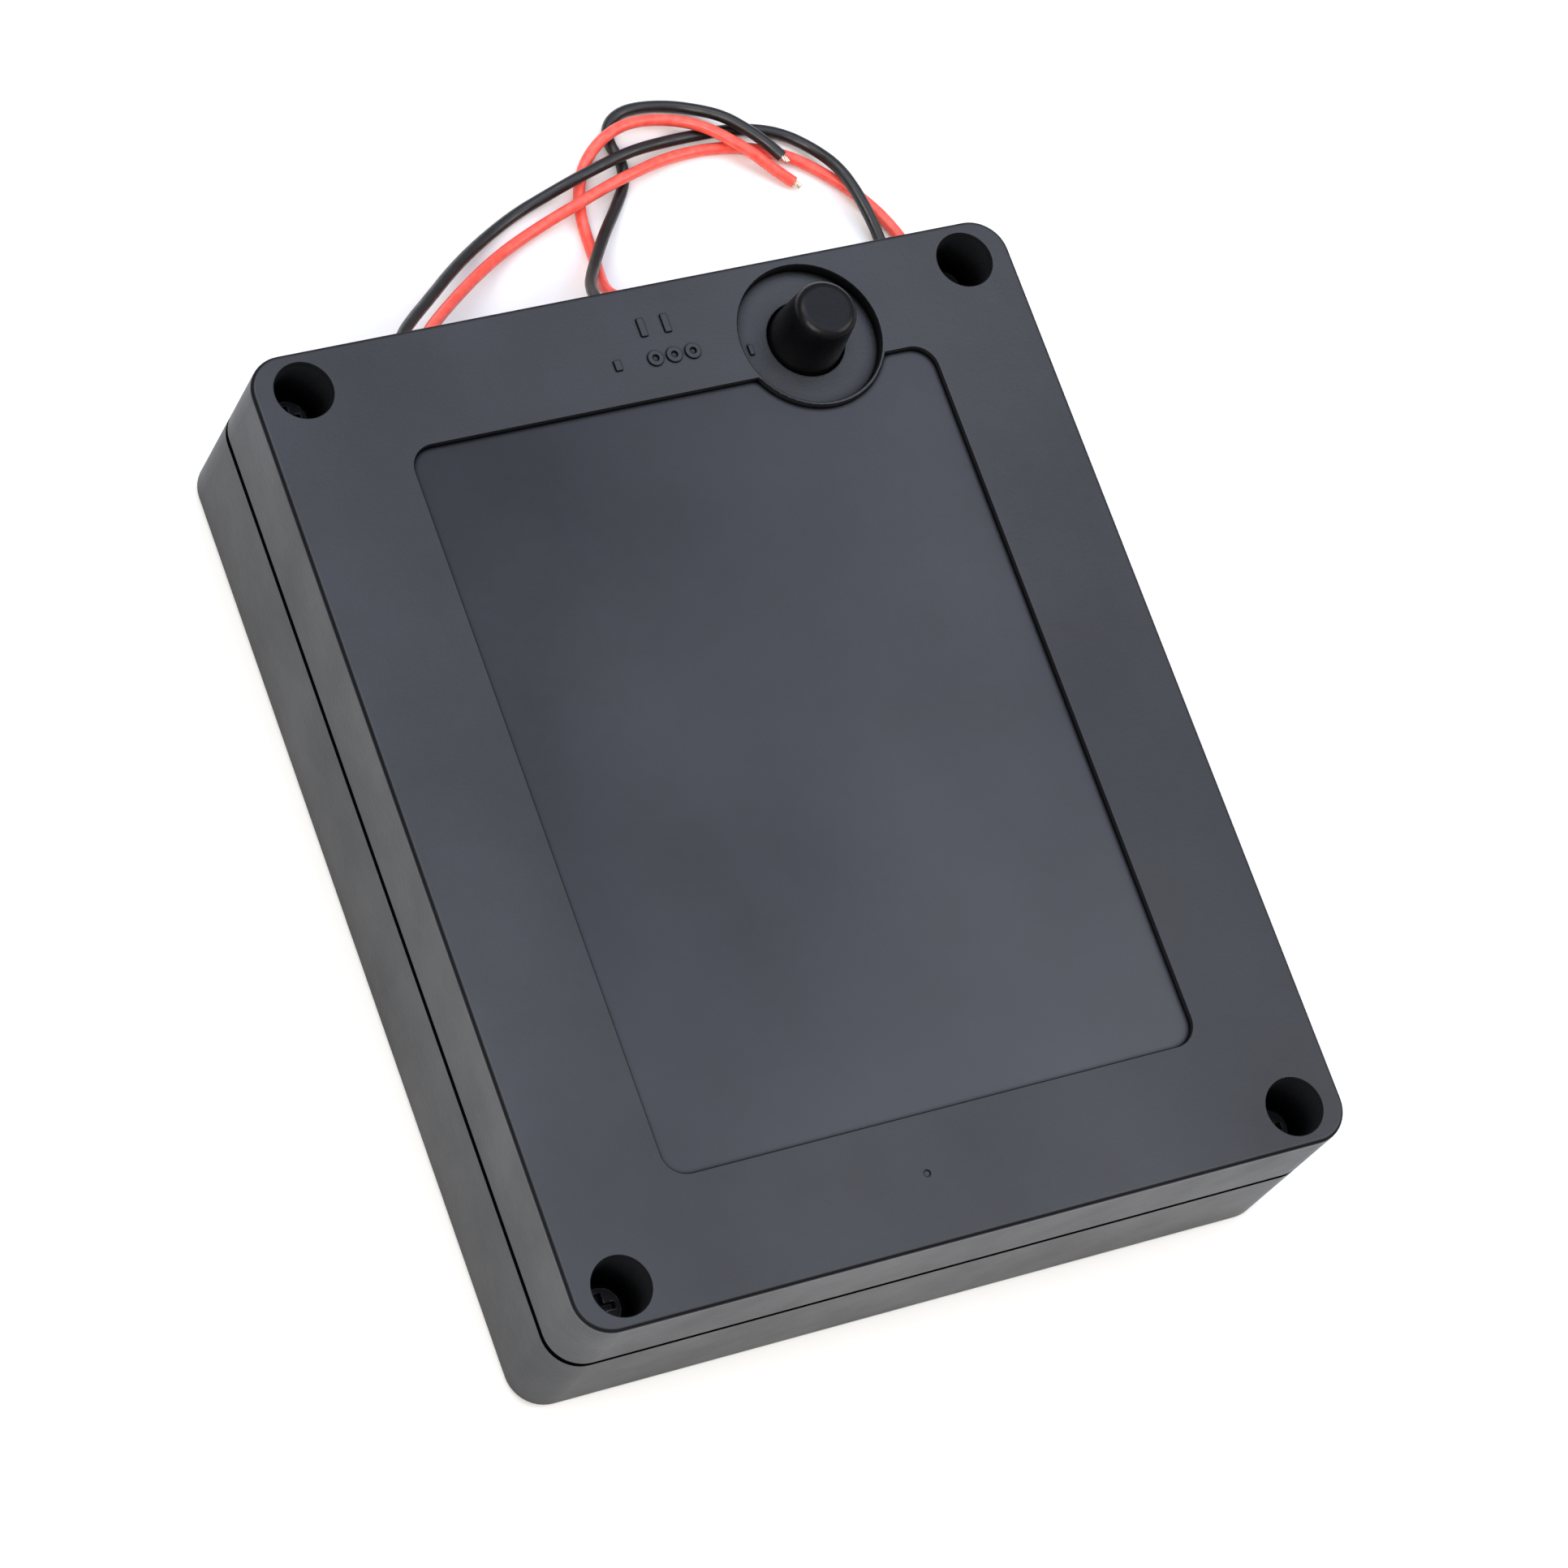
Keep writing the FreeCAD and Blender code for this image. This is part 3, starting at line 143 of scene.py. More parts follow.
def add_camera():
    back = direction(CAMERA_AZIMUTH, CAMERA_ELEVATION)
    data = bpy.data.cameras.new("camera")
    data.lens = CAMERA_LENS
    camera = bpy.data.objects.new("camera", data)
    level = back.to_track_quat("Z", "Y").to_matrix().to_4x4()
    tilt = Matrix.Rotation(math.radians(CAMERA_ROLL), 4, "Z")
    camera.matrix_world = Matrix.Translation(Vector(CAMERA_AIM) + CAMERA_DISTANCE * back) @ level @ tilt
    bpy.context.scene.collection.objects.link(camera)
    bpy.context.scene.camera = camera


def add_lead(name, points):
    """The insulated lead: one smooth open spline with a round section."""
    data = bpy.data.curves.new(name + "_cord", "CURVE")
    data.dimensions = "3D"
    data.bevel_depth = LEAD_DIAMETER / 2
    data.bevel_resolution = LEAD_BEVEL_STEPS
    data.use_fill_caps = True
    spline = data.splines.new("NURBS")
    spline.points.add(len(points) - 1)
    for point, place in zip(spline.points, points):
        point.co = (*place, 1)
    spline.order_u = 3
    spline.use_endpoint_u = True
    spline.resolution_u = LEAD_SPAN_STEPS
    lead = bpy.data.objects.new(name + "_cord", data)
    bpy.context.scene.collection.objects.link(lead)
    return lead


def add_mesh(name, mesh):
    """An object made from a bmesh, which is freed."""
    data = bpy.data.meshes.new(name)
    mesh.to_mesh(data)
    mesh.free()
    piece = bpy.data.objects.new(name, data)
    bpy.context.scene.collection.objects.link(piece)
    return piece


def smooth_sides(mesh):
    """Smooth shading on the four-cornered sides of tubes, and flat shading on their ends."""
    for face in mesh.faces:
        face.smooth = len(face.verts) == 4


def add_tube(mesh, path, radius):
    """A round closed tube in a bmesh, along points that bend gently."""
    rings = []
    for index, centre in enumerate(path):
        before = path[max(index - 1, 0)]
        after = path[min(index + 1, len(path) - 1)]
        turn = (after - before).to_track_quat("Z", "Y").to_matrix()
        ring = []
        for side in range(TUBE_SIDES):
            angle = 2 * math.pi * side / TUBE_SIDES
            offset = turn @ Vector((radius * math.cos(angle), radius * math.sin(angle), 0))
            ring.append(mesh.verts.new(centre + offset))
        rings.append(ring)
    for first, second in zip(rings, rings[1:]):
        for side in range(TUBE_SIDES):
            other = (side + 1) % TUBE_SIDES
            mesh.faces.new((first[side], first[other], second[other], second[side]))
    mesh.faces.new(list(reversed(rings[0])))
    mesh.faces.new(rings[-1])


def add_strands(name, points):
    """The stripped end of a lead: bare strands with a slow twist."""
    end = Vector(points[-1])
    heading = (end - Vector(points[-2])).normalized()
    turn = heading.to_track_quat("Z", "Y").to_matrix()
    mesh = bmesh.new()
    for strand in range(STRAND_COUNT):
        orbit = 0 if strand == 0 else 2 * STRAND_RADIUS
        length = STRAND_LENGTH - STRAND_STAGGER * (strand % 3)
        start = 2 * math.pi * strand / (STRAND_COUNT - 1)
        path = []
        for step in range(STRAND_STEPS + 1):
            along = -STRAND_SINK + (length + STRAND_SINK) * step / STRAND_STEPS
            angle = start + 2 * math.pi * along / STRAND_LAY
            spot = Vector((orbit * math.cos(angle), orbit * math.sin(angle), along))
            path.append(end + turn @ spot)
        add_tube(mesh, path, STRAND_RADIUS * STRAND_SLACK)
    smooth_sides(mesh)
    return add_mesh(name + "_strands", mesh)


def add_spring():
    """The return spring as a round wire coil in the place of its CAD node."""
    low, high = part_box("switch_spring")
    middle = (low + high) / 2
    orbit = (high.x - low.x) / 2 - SPRING_WIRE_RADIUS
    gap = SPRING_END_GAP * SPRING_WIRE_RADIUS
    start = low.z + gap
    rise = high.z - low.z - 2 * gap
    steps = SPRING_TURNS * SPRING_STEPS
    mesh = bmesh.new()
    path = []
    for step in range(steps + 1):
        share = step / steps
        angle = 2 * math.pi * SPRING_TURNS * share
        x = middle.x + orbit * math.cos(angle)
        y = middle.y + orbit * math.sin(angle)
        path.append(Vector((x, y, start + rise * share)))
    add_tube(mesh, path, SPRING_WIRE_RADIUS)
    smooth_sides(mesh)
    return add_mesh("return_spring", mesh)


add_camera()
leads = {name: add_lead(name, points) for name, points in ROUTES.items()}
strands = {name: add_strands(name, points) for name, points in ROUTES.items()}


# ---------------------------------------------------------------- material helpers
class Finish:
    """A Principled material, with short calls for the nodes that vary it over the surface."""

    def __init__(self, name, **uniform):
        self.material = bpy.data.materials.new(name)
        self.material.use_nodes = True
        self.tree = self.material.node_tree
        self.shader = self.tree.nodes["Principled BSDF"]
        self.place = self.tree.nodes.new("ShaderNodeTexCoord").outputs["Object"]
        for socket, value in uniform.items():
            self.shader.inputs[socket.replace("_", " ")].default_value = value

    def add(self, kind, **inputs):
        """A node of this kind; each input is a value or another node's output."""
        node = self.tree.nodes.new(kind)
        for name, value in inputs.items():
            self.feed(node.inputs[name.replace("_", " ")], value)
        return node

    def feed(self, socket, value):
        if isinstance(value, bpy.types.NodeSocket):
            self.tree.links.new(value, socket)
        else:
            socket.default_value = value

    def stretched(self, stretch, turn=0):
        """Places on the object, scaled along each axis and turned about Z."""
        node = self.add("ShaderNodeMapping", Vector=self.place)
        node.inputs["Scale"].default_value = stretch
        node.inputs["Rotation"].default_value = (0, 0, math.radians(turn))
        return node.outputs["Vector"]

    def noise(self, size, detail=3, stretch=(1, 1, 1), turn=0, rough=0.5):
        """Smooth noise from 0 to 1 with features of about this size in metres."""
        where = self.stretched(stretch, turn)
        node = self.add("ShaderNodeTexNoise", Vector=where, Scale=1 / size, Detail=detail, Roughness=rough)
        return node.outputs[0]

    def bands(self, axis, pitch):
        """Waves from 0 to 1 along an axis, one every pitch; at scale 1 Blender's waves are pi / 10 long."""
        node = self.add("ShaderNodeTexWave", Vector=self.place, Scale=math.pi / 10 / pitch)
        node.bands_direction = axis
        return node.outputs["Fac"]

    def along(self, axis):
        """How far a point lies along X, Y or Z, in metres."""
        return self.add("ShaderNodeSeparateXYZ", Vector=self.place).outputs[axis]

    def layer(self, low, high):
        """1 between two heights."""
        from_middle = self.math("ABSOLUTE", self.math("SUBTRACT", self.along("Z"), (low + high) / 2), 0.0)
        return self.math("LESS_THAN", from_middle, (high - low) / 2)

    def remap(self, value, low, high, to_low=0.0, to_high=1.0):
        node = self.add("ShaderNodeMapRange", Value=value)
        for name, number in zip(("From Min", "From Max", "To Min", "To Max"), (low, high, to_low, to_high)):
            node.inputs[name].default_value = number
        return node.outputs[0]

    def math(self, operation, first, second):
        node = self.add("ShaderNodeMath")
        node.operation = operation
        self.feed(node.inputs[0], first)
        self.feed(node.inputs[1], second)
        return node.outputs[0]

    def mix(self, share, first, second):
        """Blend of two colours, each a triple or another node's output."""
        node = self.add("ShaderNodeMix")
        node.data_type = "RGBA"
        self.feed(node.inputs[0], share)
        for socket, colour in ((node.inputs[6], first), (node.inputs[7], second)):
            self.feed(socket, colour if isinstance(colour, bpy.types.NodeSocket) else (*colour, 1))
        return node.outputs[2]

    def tinted(self, colour, mask, share, other):
        """The colour, blended by this share towards another one where the mask is 1."""
        return self.mix(self.math("MULTIPLY", mask, share), colour, other)

    def dimmed(self, value, mask, share):
        """The value, less this share of it where the mask is 1."""
        kept = self.math("SUBTRACT", 1.0, self.math("MULTIPLY", mask, share))
        return self.math("MULTIPLY", value, kept)

    def specks(self, spacing, size):
        """Sparse round dots: 1 inside a dot."""
        node = self.add("ShaderNodeTexVoronoi", Vector=self.place, Scale=1 / spacing)
        chosen = self.add("ShaderNodeSeparateColor", Color=node.outputs["Color"]).outputs["Red"]
        reach = self.remap(chosen, 0.55, 1.0, 0.0, size / spacing)
        inside = self.math("SUBTRACT", reach, node.outputs["Distance"])
        return self.remap(inside, 0.0, 0.25 * size / spacing)

    def hairlines(self, length, turn):
        """Long thin scratches: 1 along a few of them."""
        lines = self.noise(length, 1, (1, 22, 1), turn)
        offset = self.math("ABSOLUTE", self.math("SUBTRACT", lines, 0.5), 0.0)
        patch = self.remap(self.noise(1.3 * length, 1), 0.56, 0.66)
        return self.math("MULTIPLY", self.remap(offset, 0.0, 0.006, 1.0, 0.0), patch)

    def edges(self, radius):
        """Edges, for wear and in the case's shell also for painted shade: 1 where the surface turns sharply
        within this radius.
        """
        bevel = self.add("ShaderNodeBevel", Radius=radius)
        bevel.samples = 6
        flat = self.tree.nodes.new("ShaderNodeNewGeometry").outputs["Normal"]
        node = self.add("ShaderNodeVectorMath")
        node.operation = "DOT_PRODUCT"
        self.feed(node.inputs[0], bevel.outputs["Normal"])
        self.feed(node.inputs[1], flat)
        return self.remap(node.outputs["Value"], 0.98, 0.8)

    def shade_hollows(self, reach, outer, inner):
        """Corners and deep places, where the case's shell gets painted shade: 0 above the outer openness
        and 1 below the inner one.
        """
        node = self.add("ShaderNodeAmbientOcclusion", Distance=reach)
        node.samples = 8
        return self.remap(node.outputs["AO"], outer, inner)

    def shade_roundings(self):
        """Rounded edges, where the case's shell gets painted shade: 1 where the surface is neither level
        nor upright.
        """
        normal = self.tree.nodes.new("ShaderNodeNewGeometry").outputs["Normal"]
        level = self.math("ABSOLUTE", self.add("ShaderNodeSeparateXYZ", Vector=normal).outputs["Z"], 0.0)
        return self.math("MINIMUM", self.remap(level, 0.1, 0.3), self.remap(level, 0.97, 0.85))

    def relief(self, *layers):
        """Bump from pairs of a height from 0 to 1 and its depth in metres."""
        normal = None
        for value, depth in layers:
            node = self.add("ShaderNodeBump", Height=value, Distance=depth)
            if normal is not None:
                self.feed(node.inputs["Normal"], normal)
            normal = node.outputs["Normal"]
        self.feed(self.shader.inputs["Normal"], normal)

    def finish(self, colour, roughness):
        self.feed(self.shader.inputs["Base Color"], colour)
        self.feed(self.shader.inputs["Roughness"], roughness)
        return self.material


def tone(colour, factor):
    return tuple(channel * factor for channel in colour)


# ---------------------------------------------------------------- the case's materials
SLATE = (0.0105, 0.0115, 0.0145)
RUBBED_PLASTIC = (0.05, 0.052, 0.056)
SCRATCHED_PLASTIC = (0.05, 0.05, 0.055)
DUST = (0.12, 0.12, 0.12)

# The label panel's face lies between these depths under the cover's top.
PANEL_DEEPEST = 0.0012
PANEL_SHALLOWEST = 0.0006
# The parting groove's painted shade runs past the seal by this much, above and below.
GROOVE_MARGIN = 0.00006
# Painted sheen that the panel gains from its back left to its front right.
DRIFT_REACH = 0.08
DRIFT_BACK = -0.2
DRIFT_FRONT = 0.17


def case_plastic():
    """Slate moulded shell: fine spark texture, smoother label panel, cloudy sheen, light handling marks.

    Painted shade makes its rounded edges, corners and parting groove darker and duller, and a
    painted sheen makes its panel shine more towards the front right.
    """
    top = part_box("top_cover")[1].z
    make = Finish("case_plastic", IOR=1.5)
    panel = make.layer(top - PANEL_DEEPEST, top - PANEL_SHALLOWEST)
    seal_low, seal_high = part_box("case_seal")
    groove = make.layer(seal_low.z - GROOVE_MARGIN, seal_high.z + GROOVE_MARGIN)
    clouds = make.noise(0.034, 3)
    sheen = make.noise(0.045, 2, (1, 0.6, 1), 35)
    smudges = make.noise(0.011, 5, rough=0.6)
    grain = make.noise(0.00045, 2)
    waves = make.noise(0.006, 2)
    dust = make.specks(0.007, 0.00014)
    hairs = make.hairlines(0.018, 24)
    edges = make.edges(0.0003)
    rubbed = make.math("MULTIPLY", edges, make.remap(make.noise(0.004, 3), 0.5, 0.64))
    # Painted shade: rounded edges join the sharp ones in the mask that darkens and dulls the shell.
    edges = make.math("MAXIMUM", edges, make.shade_roundings())
    # Painted shade in corners, deep places and the parting groove.
    shade_hollows = make.math("MAXIMUM", make.shade_hollows(0.001, 0.8, 0.5), make.shade_hollows(0.007, 0.6, 0.35))
    shade_hollows = make.math("MAXIMUM", shade_hollows, groove)
    colour = make.mix(make.remap(clouds, 0.35, 0.65), tone(SLATE, 0.8), tone(SLATE, 1.2))
    colour = make.mix(make.remap(make.noise(0.0016, 3), 0.3, 0.8, 0.0, 0.3), colour, tone(SLATE, 1.4))
    colour = make.tinted(colour, rubbed, 0.5, RUBBED_PLASTIC)
    colour = make.tinted(colour, hairs, 0.05, SCRATCHED_PLASTIC)
    colour = make.tinted(colour, dust, 0.4, DUST)
    # Painted shade: edges and roundings darkened, then hollows and the groove made almost black.
    colour = make.tinted(colour, edges, 0.7, tone(SLATE, 0.2))
    colour = make.mix(shade_hollows, colour, tone(SLATE, 0.08))
    satin = make.remap(smudges, 0.3, 0.7, 0.43, 0.53)
    roughness = make.math("SUBTRACT", satin, make.math("MULTIPLY", panel, 0.06))
    # Painted sheen: the panel shines more towards its front right.
    across = make.math("SUBTRACT", make.along("X"), make.along("Y"))
    painted_sheen = make.remap(across, -DRIFT_REACH, DRIFT_REACH, DRIFT_BACK, DRIFT_FRONT)
    shine = make.math("ADD", make.remap(sheen, 0.32, 0.68, 0.4, 0.6), make.math("MULTIPLY", painted_sheen, panel))
    # Painted shade: hollows, the groove and edges lose most of their shine.
    shine = make.dimmed(shine, shade_hollows, 0.96)
    shine = make.dimmed(shine, edges, 0.85)
    make.feed(make.shader.inputs["Specular IOR Level"], shine)
    make.relief((waves, 0.00004), (make.dimmed(grain, panel, 0.45), 0.00003), (hairs, -0.000003))
    return make.finish(colour, roughness)


def seal_rubber():
    make = Finish("seal_rubber")
    colour = make.mix(make.noise(0.004, 4), (0.006, 0.006, 0.006), (0.016, 0.016, 0.015))
    make.relief((make.noise(0.0003, 3), 0.00003))
    return make.finish(colour, make.remap(make.noise(0.003), 0.3, 0.7, 0.7, 0.9))


def black_steel():
    """Cover screws: black oxide over steel, bright where a driver has worn the recess."""
    make = Finish("black_steel", Metallic=0.85)
    wear = make.math("MULTIPLY", make.edges(0.0003), make.remap(make.noise(0.0009, 4), 0.4, 0.6))
    colour = make.mix(make.noise(0.0015, 4), (0.01, 0.01, 0.011), (0.024, 0.024, 0.025))
    colour = make.mix(wear, colour, (0.17, 0.165, 0.16))
    make.relief((make.noise(0.0002, 3), 0.00001), (make.noise(0.0012, 2), 0.00002))
    return make.finish(colour, make.remap(make.noise(0.0007), 0.3, 0.7, 0.32, 0.5))


def button_plastic():
    """Gloss black button with faint finger marks and rubbed edges."""
    make = Finish("button_plastic", IOR=1.28)
    rubbed = make.math("MULTIPLY", make.edges(0.0004), make.remap(make.noise(0.002, 3), 0.35, 0.65))
    colour = make.mix(make.noise(0.005, 3), (0.0012, 0.0012, 0.0016), (0.003, 0.003, 0.0038))
    colour = make.tinted(colour, rubbed, 0.35, (0.03, 0.03, 0.033))
    prints = make.noise(0.0007, 4, (1, 4, 1), 30)
    make.relief((make.noise(0.0016, 2), 0.00002), (make.noise(0.0003, 2), 0.000004))
    return make.finish(colour, make.remap(prints, 0.3, 0.75, 0.26, 0.4))


def lead_vinyl(name, deep, bright):
    """Soft vinyl insulation: faint streaks, scuffs and an extruded skin."""
    make = Finish(name, IOR=1.5)
    streaks = make.noise(0.0011, 3)
    scuffs = make.remap(make.noise(0.0035, 5, rough=0.65), 0.58, 0.7)
    colour = make.mix(make.remap(streaks, 0.3, 0.7), deep, bright)
    colour = make.tinted(colour, scuffs, 0.3, tone(deep, 0.7))
    make.relief((make.noise(0.0022, 2), 0.00005), (make.noise(0.00025, 3), 0.000008))
    return make.finish(colour, make.remap(make.noise(0.0018, 3), 0.3, 0.7, 0.3, 0.46))


def lead_black():
    return lead_vinyl("lead_black", (0.0035, 0.004, 0.0045), (0.007, 0.0075, 0.008))


def lead_red():
    return lead_vinyl("lead_red", (0.82, 0.065, 0.045), (0.94, 0.12, 0.085))


def tinned_copper():
    make = Finish("tinned_copper", Metallic=1.0)
    bare = make.remap(make.noise(0.0006, 3), 0.45, 0.62)
    colour = make.mix(bare, (0.78, 0.7, 0.6), (0.82, 0.46, 0.27))
    make.relief((make.noise(0.00012, 2, (1, 1, 6)), 0.00001))
    return make.finish(colour, make.remap(make.noise(0.0003), 0.3, 0.7, 0.22, 0.4))


def grommet_rubber():
    make = Finish("grommet_rubber")
    colour = make.mix(make.noise(0.002, 4), (0.012, 0.012, 0.012), (0.026, 0.026, 0.025))
    colour = make.tinted(colour, make.edges(0.0003), 0.4, (0.05, 0.05, 0.05))
    make.relief((make.noise(0.0005, 3), 0.00003), (make.noise(0.003, 2), 0.00004))
    return make.finish(colour, make.remap(make.noise(0.0015), 0.3, 0.7, 0.55, 0.72))


# ---------------------------------------------------------------- materials inside the case
# The paler band at the foot of a capacitor's sleeve ends between these heights over the foot.
SLEEVE_BAND_TOP = 0.004
SLEEVE_BAND_END = 0.0042
# How many cells of the board's track pattern fit in a metre.
TRACK_CELLS = 260.0


def moulded(name, colour, roughness, gloss=0.0):
    """A plain moulded or coated part: cloudy colour, fine skin, paler edges."""
    make = Finish(name, Coat_Weight=gloss)
    shade = make.mix(make.remap(make.noise(0.004, 3), 0.3, 0.7), tone(colour, 0.85), tone(colour, 1.12))
    paler = tuple(min(channel * 1.5 + 0.03, 1.0) for channel in colour)
    shade = make.tinted(shade, make.edges(0.0003), 0.4, paler)
    make.relief((make.noise(0.0004, 3), 0.00002), (make.noise(0.003, 2), 0.00003))
    return make.finish(shade, make.remap(make.noise(0.002), 0.3, 0.7, roughness - 0.06, roughness + 0.06))


def drawn_metal(name, colour, roughness, grain):
    """Plated, drawn or brushed metal: grain along one axis, dull patches, bright edges."""
    make = Finish(name, Metallic=1.0)
    lines = make.noise(0.0004, 3, grain)
    shade = make.mix(make.remap(lines, 0.3, 0.7), tone(colour, 0.82), colour)
    dull = make.remap(make.noise(0.004, 4), 0.5, 0.7)
    shade = make.tinted(shade, dull, 0.35, tone(colour, 0.6))
    shade = make.tinted(shade, make.edges(0.0002), 0.5, tone(colour, 1.15))
    make.relief((lines, 0.00001), (make.noise(0.0015, 2), 0.00001))
    return make.finish(shade, make.remap(dull, 0.0, 1.0, roughness, roughness + 0.15))


def black_plastic():
    return moulded("black_plastic", (0.018, 0.018, 0.019), 0.5)


def white_plastic():
    return moulded("white_plastic", (0.7, 0.68, 0.62), 0.42)


def connector_plastic():
    return moulded("connector_plastic", (0.03, 0.22, 0.1), 0.45)


def capacitor_resin():
    return moulded("capacitor_resin", (0.05, 0.12, 0.38), 0.35, 0.2)


def resistor_ceramic():
    return moulded("resistor_ceramic", (0.55, 0.44, 0.28), 0.55)


def capacitor_sleeve():
    """Shrink sleeve on the round capacitors, with a paler band low down."""
    make = Finish("capacitor_sleeve", Coat_Weight=0.3)
    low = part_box("smoothing_capacitors")[0].z
    band = make.remap(make.along("Z"), low + SLEEVE_BAND_TOP, low + SLEEVE_BAND_END, 1.0, 0.0)
    colour = make.mix(make.noise(0.003, 3), (0.012, 0.012, 0.03), (0.03, 0.03, 0.06))
    colour = make.tinted(colour, band, 0.5, (0.2, 0.2, 0.24))
    make.relief((make.noise(0.0008, 3), 0.00002))
    return make.finish(colour, make.remap(make.noise(0.001), 0.3, 0.7, 0.25, 0.4))


def board_laminate():
    """Green solder resist over copper: raised track-like cells and a weave."""
    make = Finish("board_laminate", Coat_Weight=0.2)
    cells = make.add("ShaderNodeTexVoronoi", Vector=make.place, Scale=TRACK_CELLS)
    cells.distance = "CHEBYCHEV"
    tracks = make.remap(cells.outputs["Distance"], 0.3, 0.34)
    weave = make.math("MULTIPLY", make.bands("X", 0.0005), make.bands("Y", 0.0005))
    colour = make.mix(tracks, (0.012, 0.13, 0.06), (0.03, 0.22, 0.1))
    colour = make.mix(make.remap(make.noise(0.01, 3), 0.3, 0.7, 0.0, 0.25), colour, (0.01, 0.09, 0.045))
    make.relief((tracks, 0.00003), (weave, 0.000004))
    return make.finish(colour, make.remap(make.noise(0.003), 0.3, 0.7, 0.3, 0.42))


def core_iron():
    """Stacked laminations, varnished."""
    make = Finish("core_iron", Metallic=0.6)
    sheets = make.bands("Z", 0.0005)
    colour = make.mix(sheets, (0.05, 0.05, 0.055), (0.12, 0.12, 0.125))
    rust = make.remap(make.noise(0.002, 5), 0.62, 0.72, 0.0, 0.5)
    colour = make.mix(rust, colour, (0.12, 0.05, 0.025))
    make.relief((sheets, 0.00004), (make.noise(0.0006, 3), 0.00001))
    return make.finish(colour, make.remap(make.noise(0.001), 0.3, 0.7, 0.4, 0.6))


def winding_copper():
    """Enamelled wire, turn beside turn."""
    make = Finish("winding_copper", Metallic=0.8, Coat_Weight=0.5)
    turns = make.bands("Y", 0.0004)
    colour = make.mix(turns, (0.18, 0.05, 0.02), (0.6, 0.23, 0.09))
    colour = make.mix(make.remap(make.noise(0.003, 3), 0.4, 0.7, 0.0, 0.3), colour, (0.3, 0.1, 0.04))
    make.relief((turns, 0.0001))
    return make.finish(colour, make.remap(make.noise(0.001), 0.3, 0.7, 0.25, 0.4))


def fuse_glass():
    make = Finish("fuse_glass", Transmission_Weight=0.9)
    colour = make.mix(make.noise(0.003, 3), (0.86, 0.92, 0.9), (0.95, 0.97, 0.96))
    make.relief((make.noise(0.0015, 2), 0.00002))
    return make.finish(colour, make.remap(make.noise(0.0006, 4), 0.5, 0.8, 0.05, 0.2))


def zinc_steel():
    return drawn_metal("zinc_steel", (0.66, 0.66, 0.63), 0.3, (1, 6, 1))


def spring_steel():
    return drawn_metal("spring_steel", (0.6, 0.6, 0.6), 0.25, (4, 4, 1))


def sink_aluminium():
    return drawn_metal("sink_aluminium", (0.74, 0.75, 0.77), 0.32, (12, 1, 12))


def clip_brass():
    return drawn_metal("clip_brass", (0.78, 0.6, 0.28), 0.28, (1, 1, 6))


SLOT_FINISHES = (
    case_plastic, seal_rubber, black_steel, button_plastic, white_plastic, spring_steel, black_plastic,
    board_laminate, zinc_steel, core_iron, winding_copper, capacitor_resin, capacitor_sleeve,
    sink_aluminium, resistor_ceramic, fuse_glass, clip_brass, grommet_rubber, connector_plastic,
    lead_black, lead_red, tinned_copper,
)


def paint(piece, material):
    piece.data.materials.clear()
    piece.data.materials.append(material)


materials = {make.__name__: make() for make in SLOT_FINISHES}
for row in frame["record"]["subparts"]:
    paint(nodes[row["node"]], materials[row["material_slot"]])


# ---------------------------------------------------------------- the return spring
def finish_spring(spring):
    """The coil stands on its base, painted and fixed to the case in place of the CAD spring."""
    paint(spring, materials["spring_steel"])
    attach(spring, "case")
    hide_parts("switch_spring")
    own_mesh(spring)


finish_spring(add_spring())


# ---------------------------------------------------------------- the leads, painted and attached
def finish_lead(name):
    """Paint one lead and its bare strands, attach them to the case, and hide its CAD lead and tip."""
    slot = "lead_black" if name.endswith("black") else "lead_red"
    lead = leads[name]
    ends = strands[name]
    paint(lead, materials[slot])
    paint(ends, materials["tinned_copper"])
    for piece in (lead, ends):
        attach(piece, "case")
    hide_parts(name)
    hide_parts(name + "_tip")


for name in ROUTES:
    finish_lead(name)


# ---------------------------------------------------------------- studio
FLOOR_SIZE = 6.0
FLOOR_CELLS = 8
FLOOR_DROP = 0.0001

COOL_WHITE = (0.59, 0.69, 1.0)
WARM_WHITE = (1.0, 0.96, 0.88)
NEUTRAL_WHITE = (1.0, 0.98, 0.95)
# Each lamp's name, azimuth, elevation, distance, size, glow and colour.
LAMPS = (
    ("overhead", 150, 72, 1.0, 0.8, 1.85, COOL_WHITE),
    ("key", -62, 50, 1.2, 0.7, 6.5, WARM_WHITE),
    ("side", 72, 42, 1.2, 0.6, 4.5, NEUTRAL_WHITE),
    ("back", -150, 55, 1.3, 0.6, 3.5, NEUTRAL_WHITE),
)

# Room light: its colours near the horizon and overhead, where each begins, and its strength.
ROOM_LOW = (0.16, 0.16, 0.17, 1)
ROOM_HIGH = (0.95, 0.97, 1.0, 1)
ROOM_LOW_UNTIL = 0.05
ROOM_HIGH_FROM = 0.75
ROOM_STRENGTH = 0.8
BACKDROP = (0.93, 0.93, 0.93, 1)


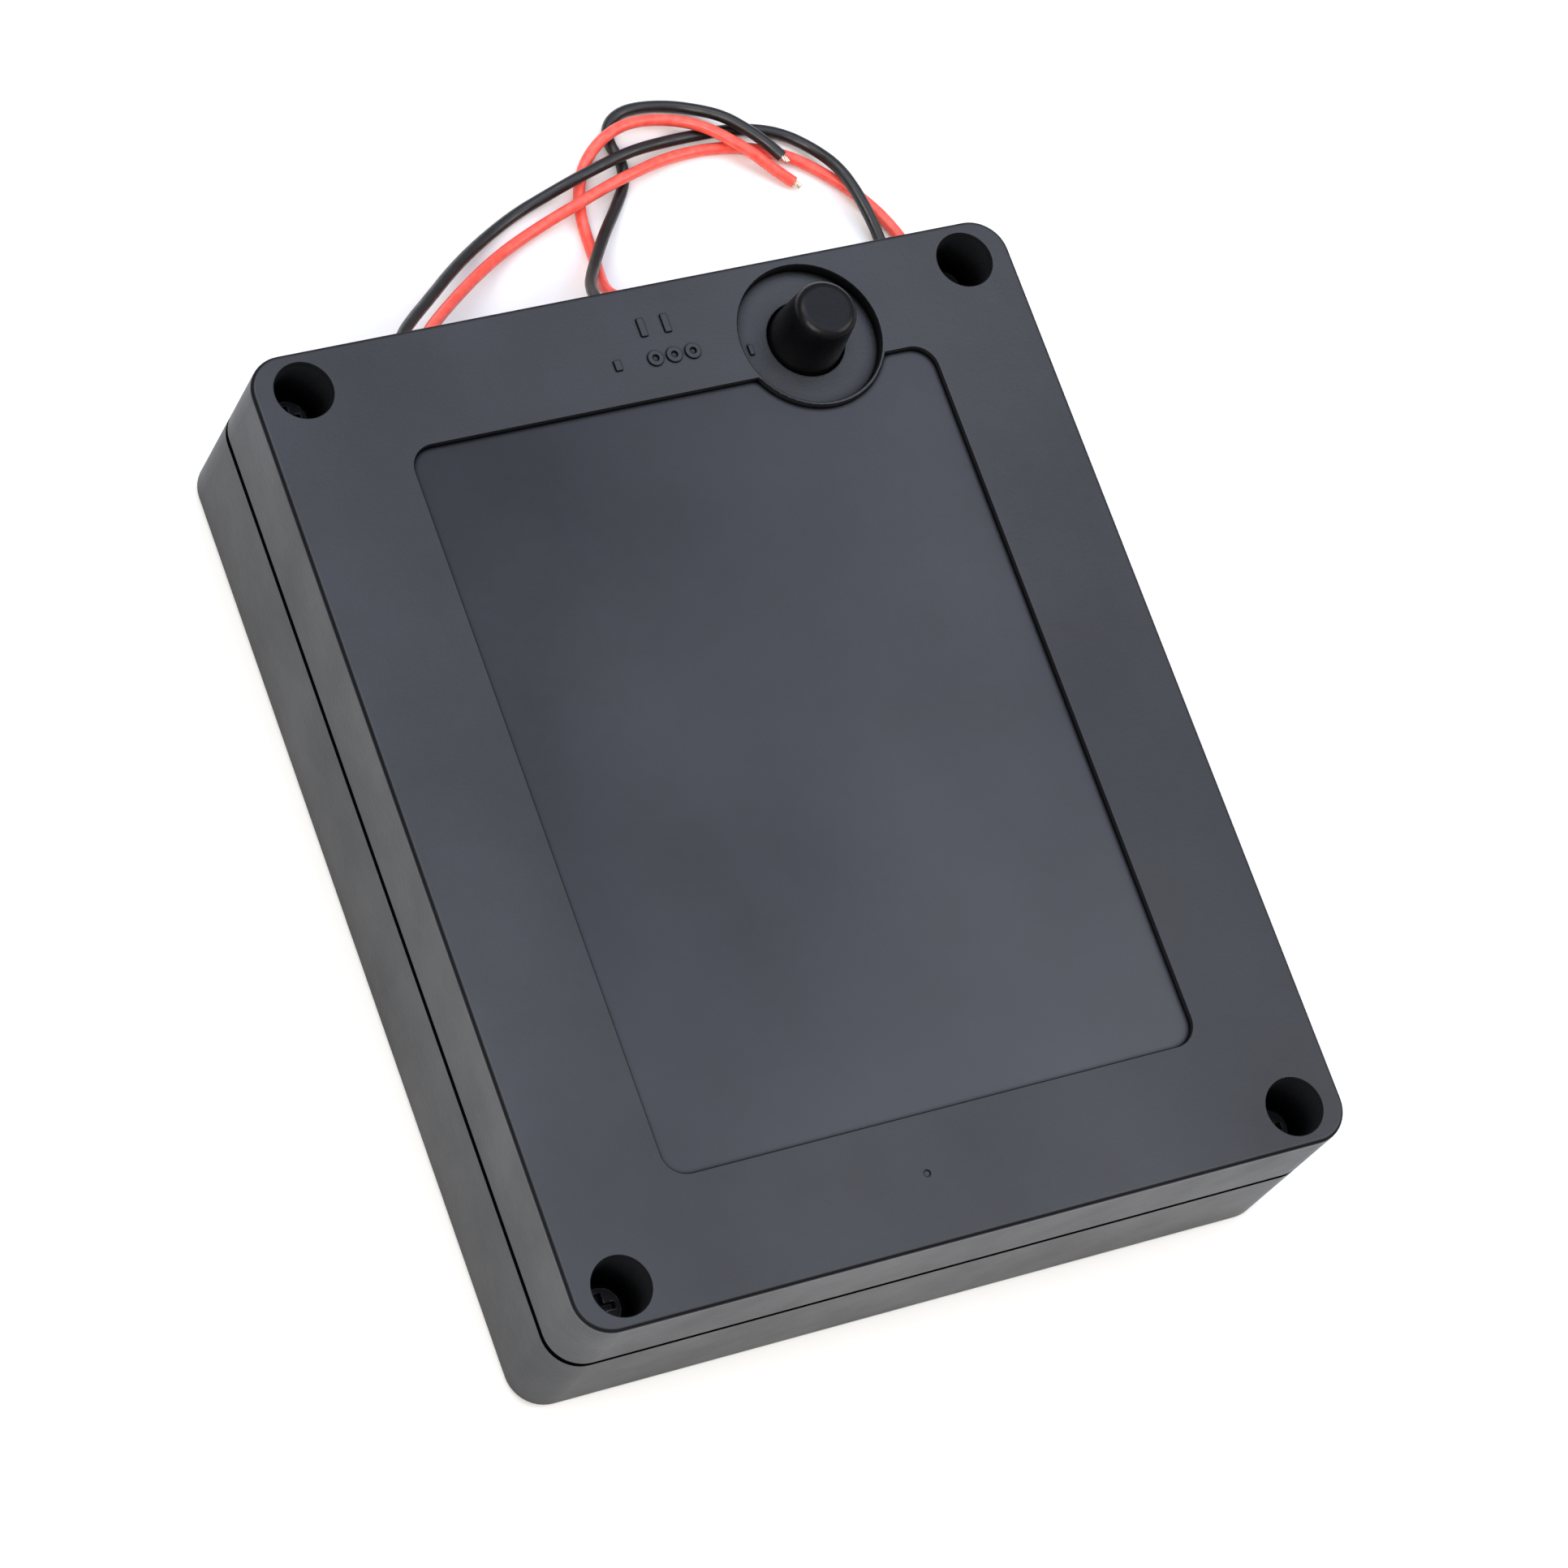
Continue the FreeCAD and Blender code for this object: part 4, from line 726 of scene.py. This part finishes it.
def add_floor():
    mesh = bmesh.new()
    bmesh.ops.create_grid(mesh, x_segments=FLOOR_CELLS, y_segments=FLOOR_CELLS, size=FLOOR_SIZE / 2)
    floor = add_mesh("floor", mesh)
    floor.location.z = -FLOOR_DROP
    make = Finish("floor")
    colour = make.mix(make.noise(0.4, 2), (0.86, 0.86, 0.86), (0.9, 0.9, 0.9))
    paint(floor, make.finish(colour, 0.85))


def add_softbox(name, azimuth, elevation, distance, size, glow, colour):
    """A square lamp that faces the object; glow is its own brightness."""
    data = bpy.data.lights.new(name, "AREA")
    data.size = size
    data.energy = glow * math.pi * size * size
    data.color = colour
    lamp = bpy.data.objects.new(name, data)
    back = direction(azimuth, elevation)
    lamp.location = distance * back
    lamp.rotation_euler = back.to_track_quat("Z", "Y").to_euler()
    bpy.context.scene.collection.objects.link(lamp)


def add_world():
    """Soft room light, darker near the horizon, with a plain pale backdrop."""
    world = bpy.data.worlds.new("studio")
    world.use_nodes = True
    bpy.context.scene.world = world
    tree = world.node_tree
    room = tree.nodes["Background"]
    place = tree.nodes.new("ShaderNodeTexCoord")
    split = tree.nodes.new("ShaderNodeSeparateXYZ")
    shade = tree.nodes.new("ShaderNodeValToRGB")
    shade.color_ramp.elements[0].position = ROOM_LOW_UNTIL
    shade.color_ramp.elements[0].color = ROOM_LOW
    shade.color_ramp.elements[1].position = ROOM_HIGH_FROM
    shade.color_ramp.elements[1].color = ROOM_HIGH
    tree.links.new(place.outputs["Generated"], split.inputs[0])
    tree.links.new(split.outputs["Z"], shade.inputs[0])
    tree.links.new(shade.outputs[0], room.inputs[0])
    room.inputs[1].default_value = ROOM_STRENGTH
    backdrop = tree.nodes.new("ShaderNodeBackground")
    backdrop.inputs[0].default_value = BACKDROP
    seen = tree.nodes.new("ShaderNodeLightPath")
    blend = tree.nodes.new("ShaderNodeMixShader")
    tree.links.new(seen.outputs["Is Camera Ray"], blend.inputs[0])
    tree.links.new(room.outputs[0], blend.inputs[1])
    tree.links.new(backdrop.outputs[0], blend.inputs[2])
    tree.links.new(blend.outputs[0], tree.nodes["World Output"].inputs[0])


add_floor()
for lamp in LAMPS:
    add_softbox(*lamp)
add_world()
bpy.context.scene.view_settings.view_transform = "Standard"
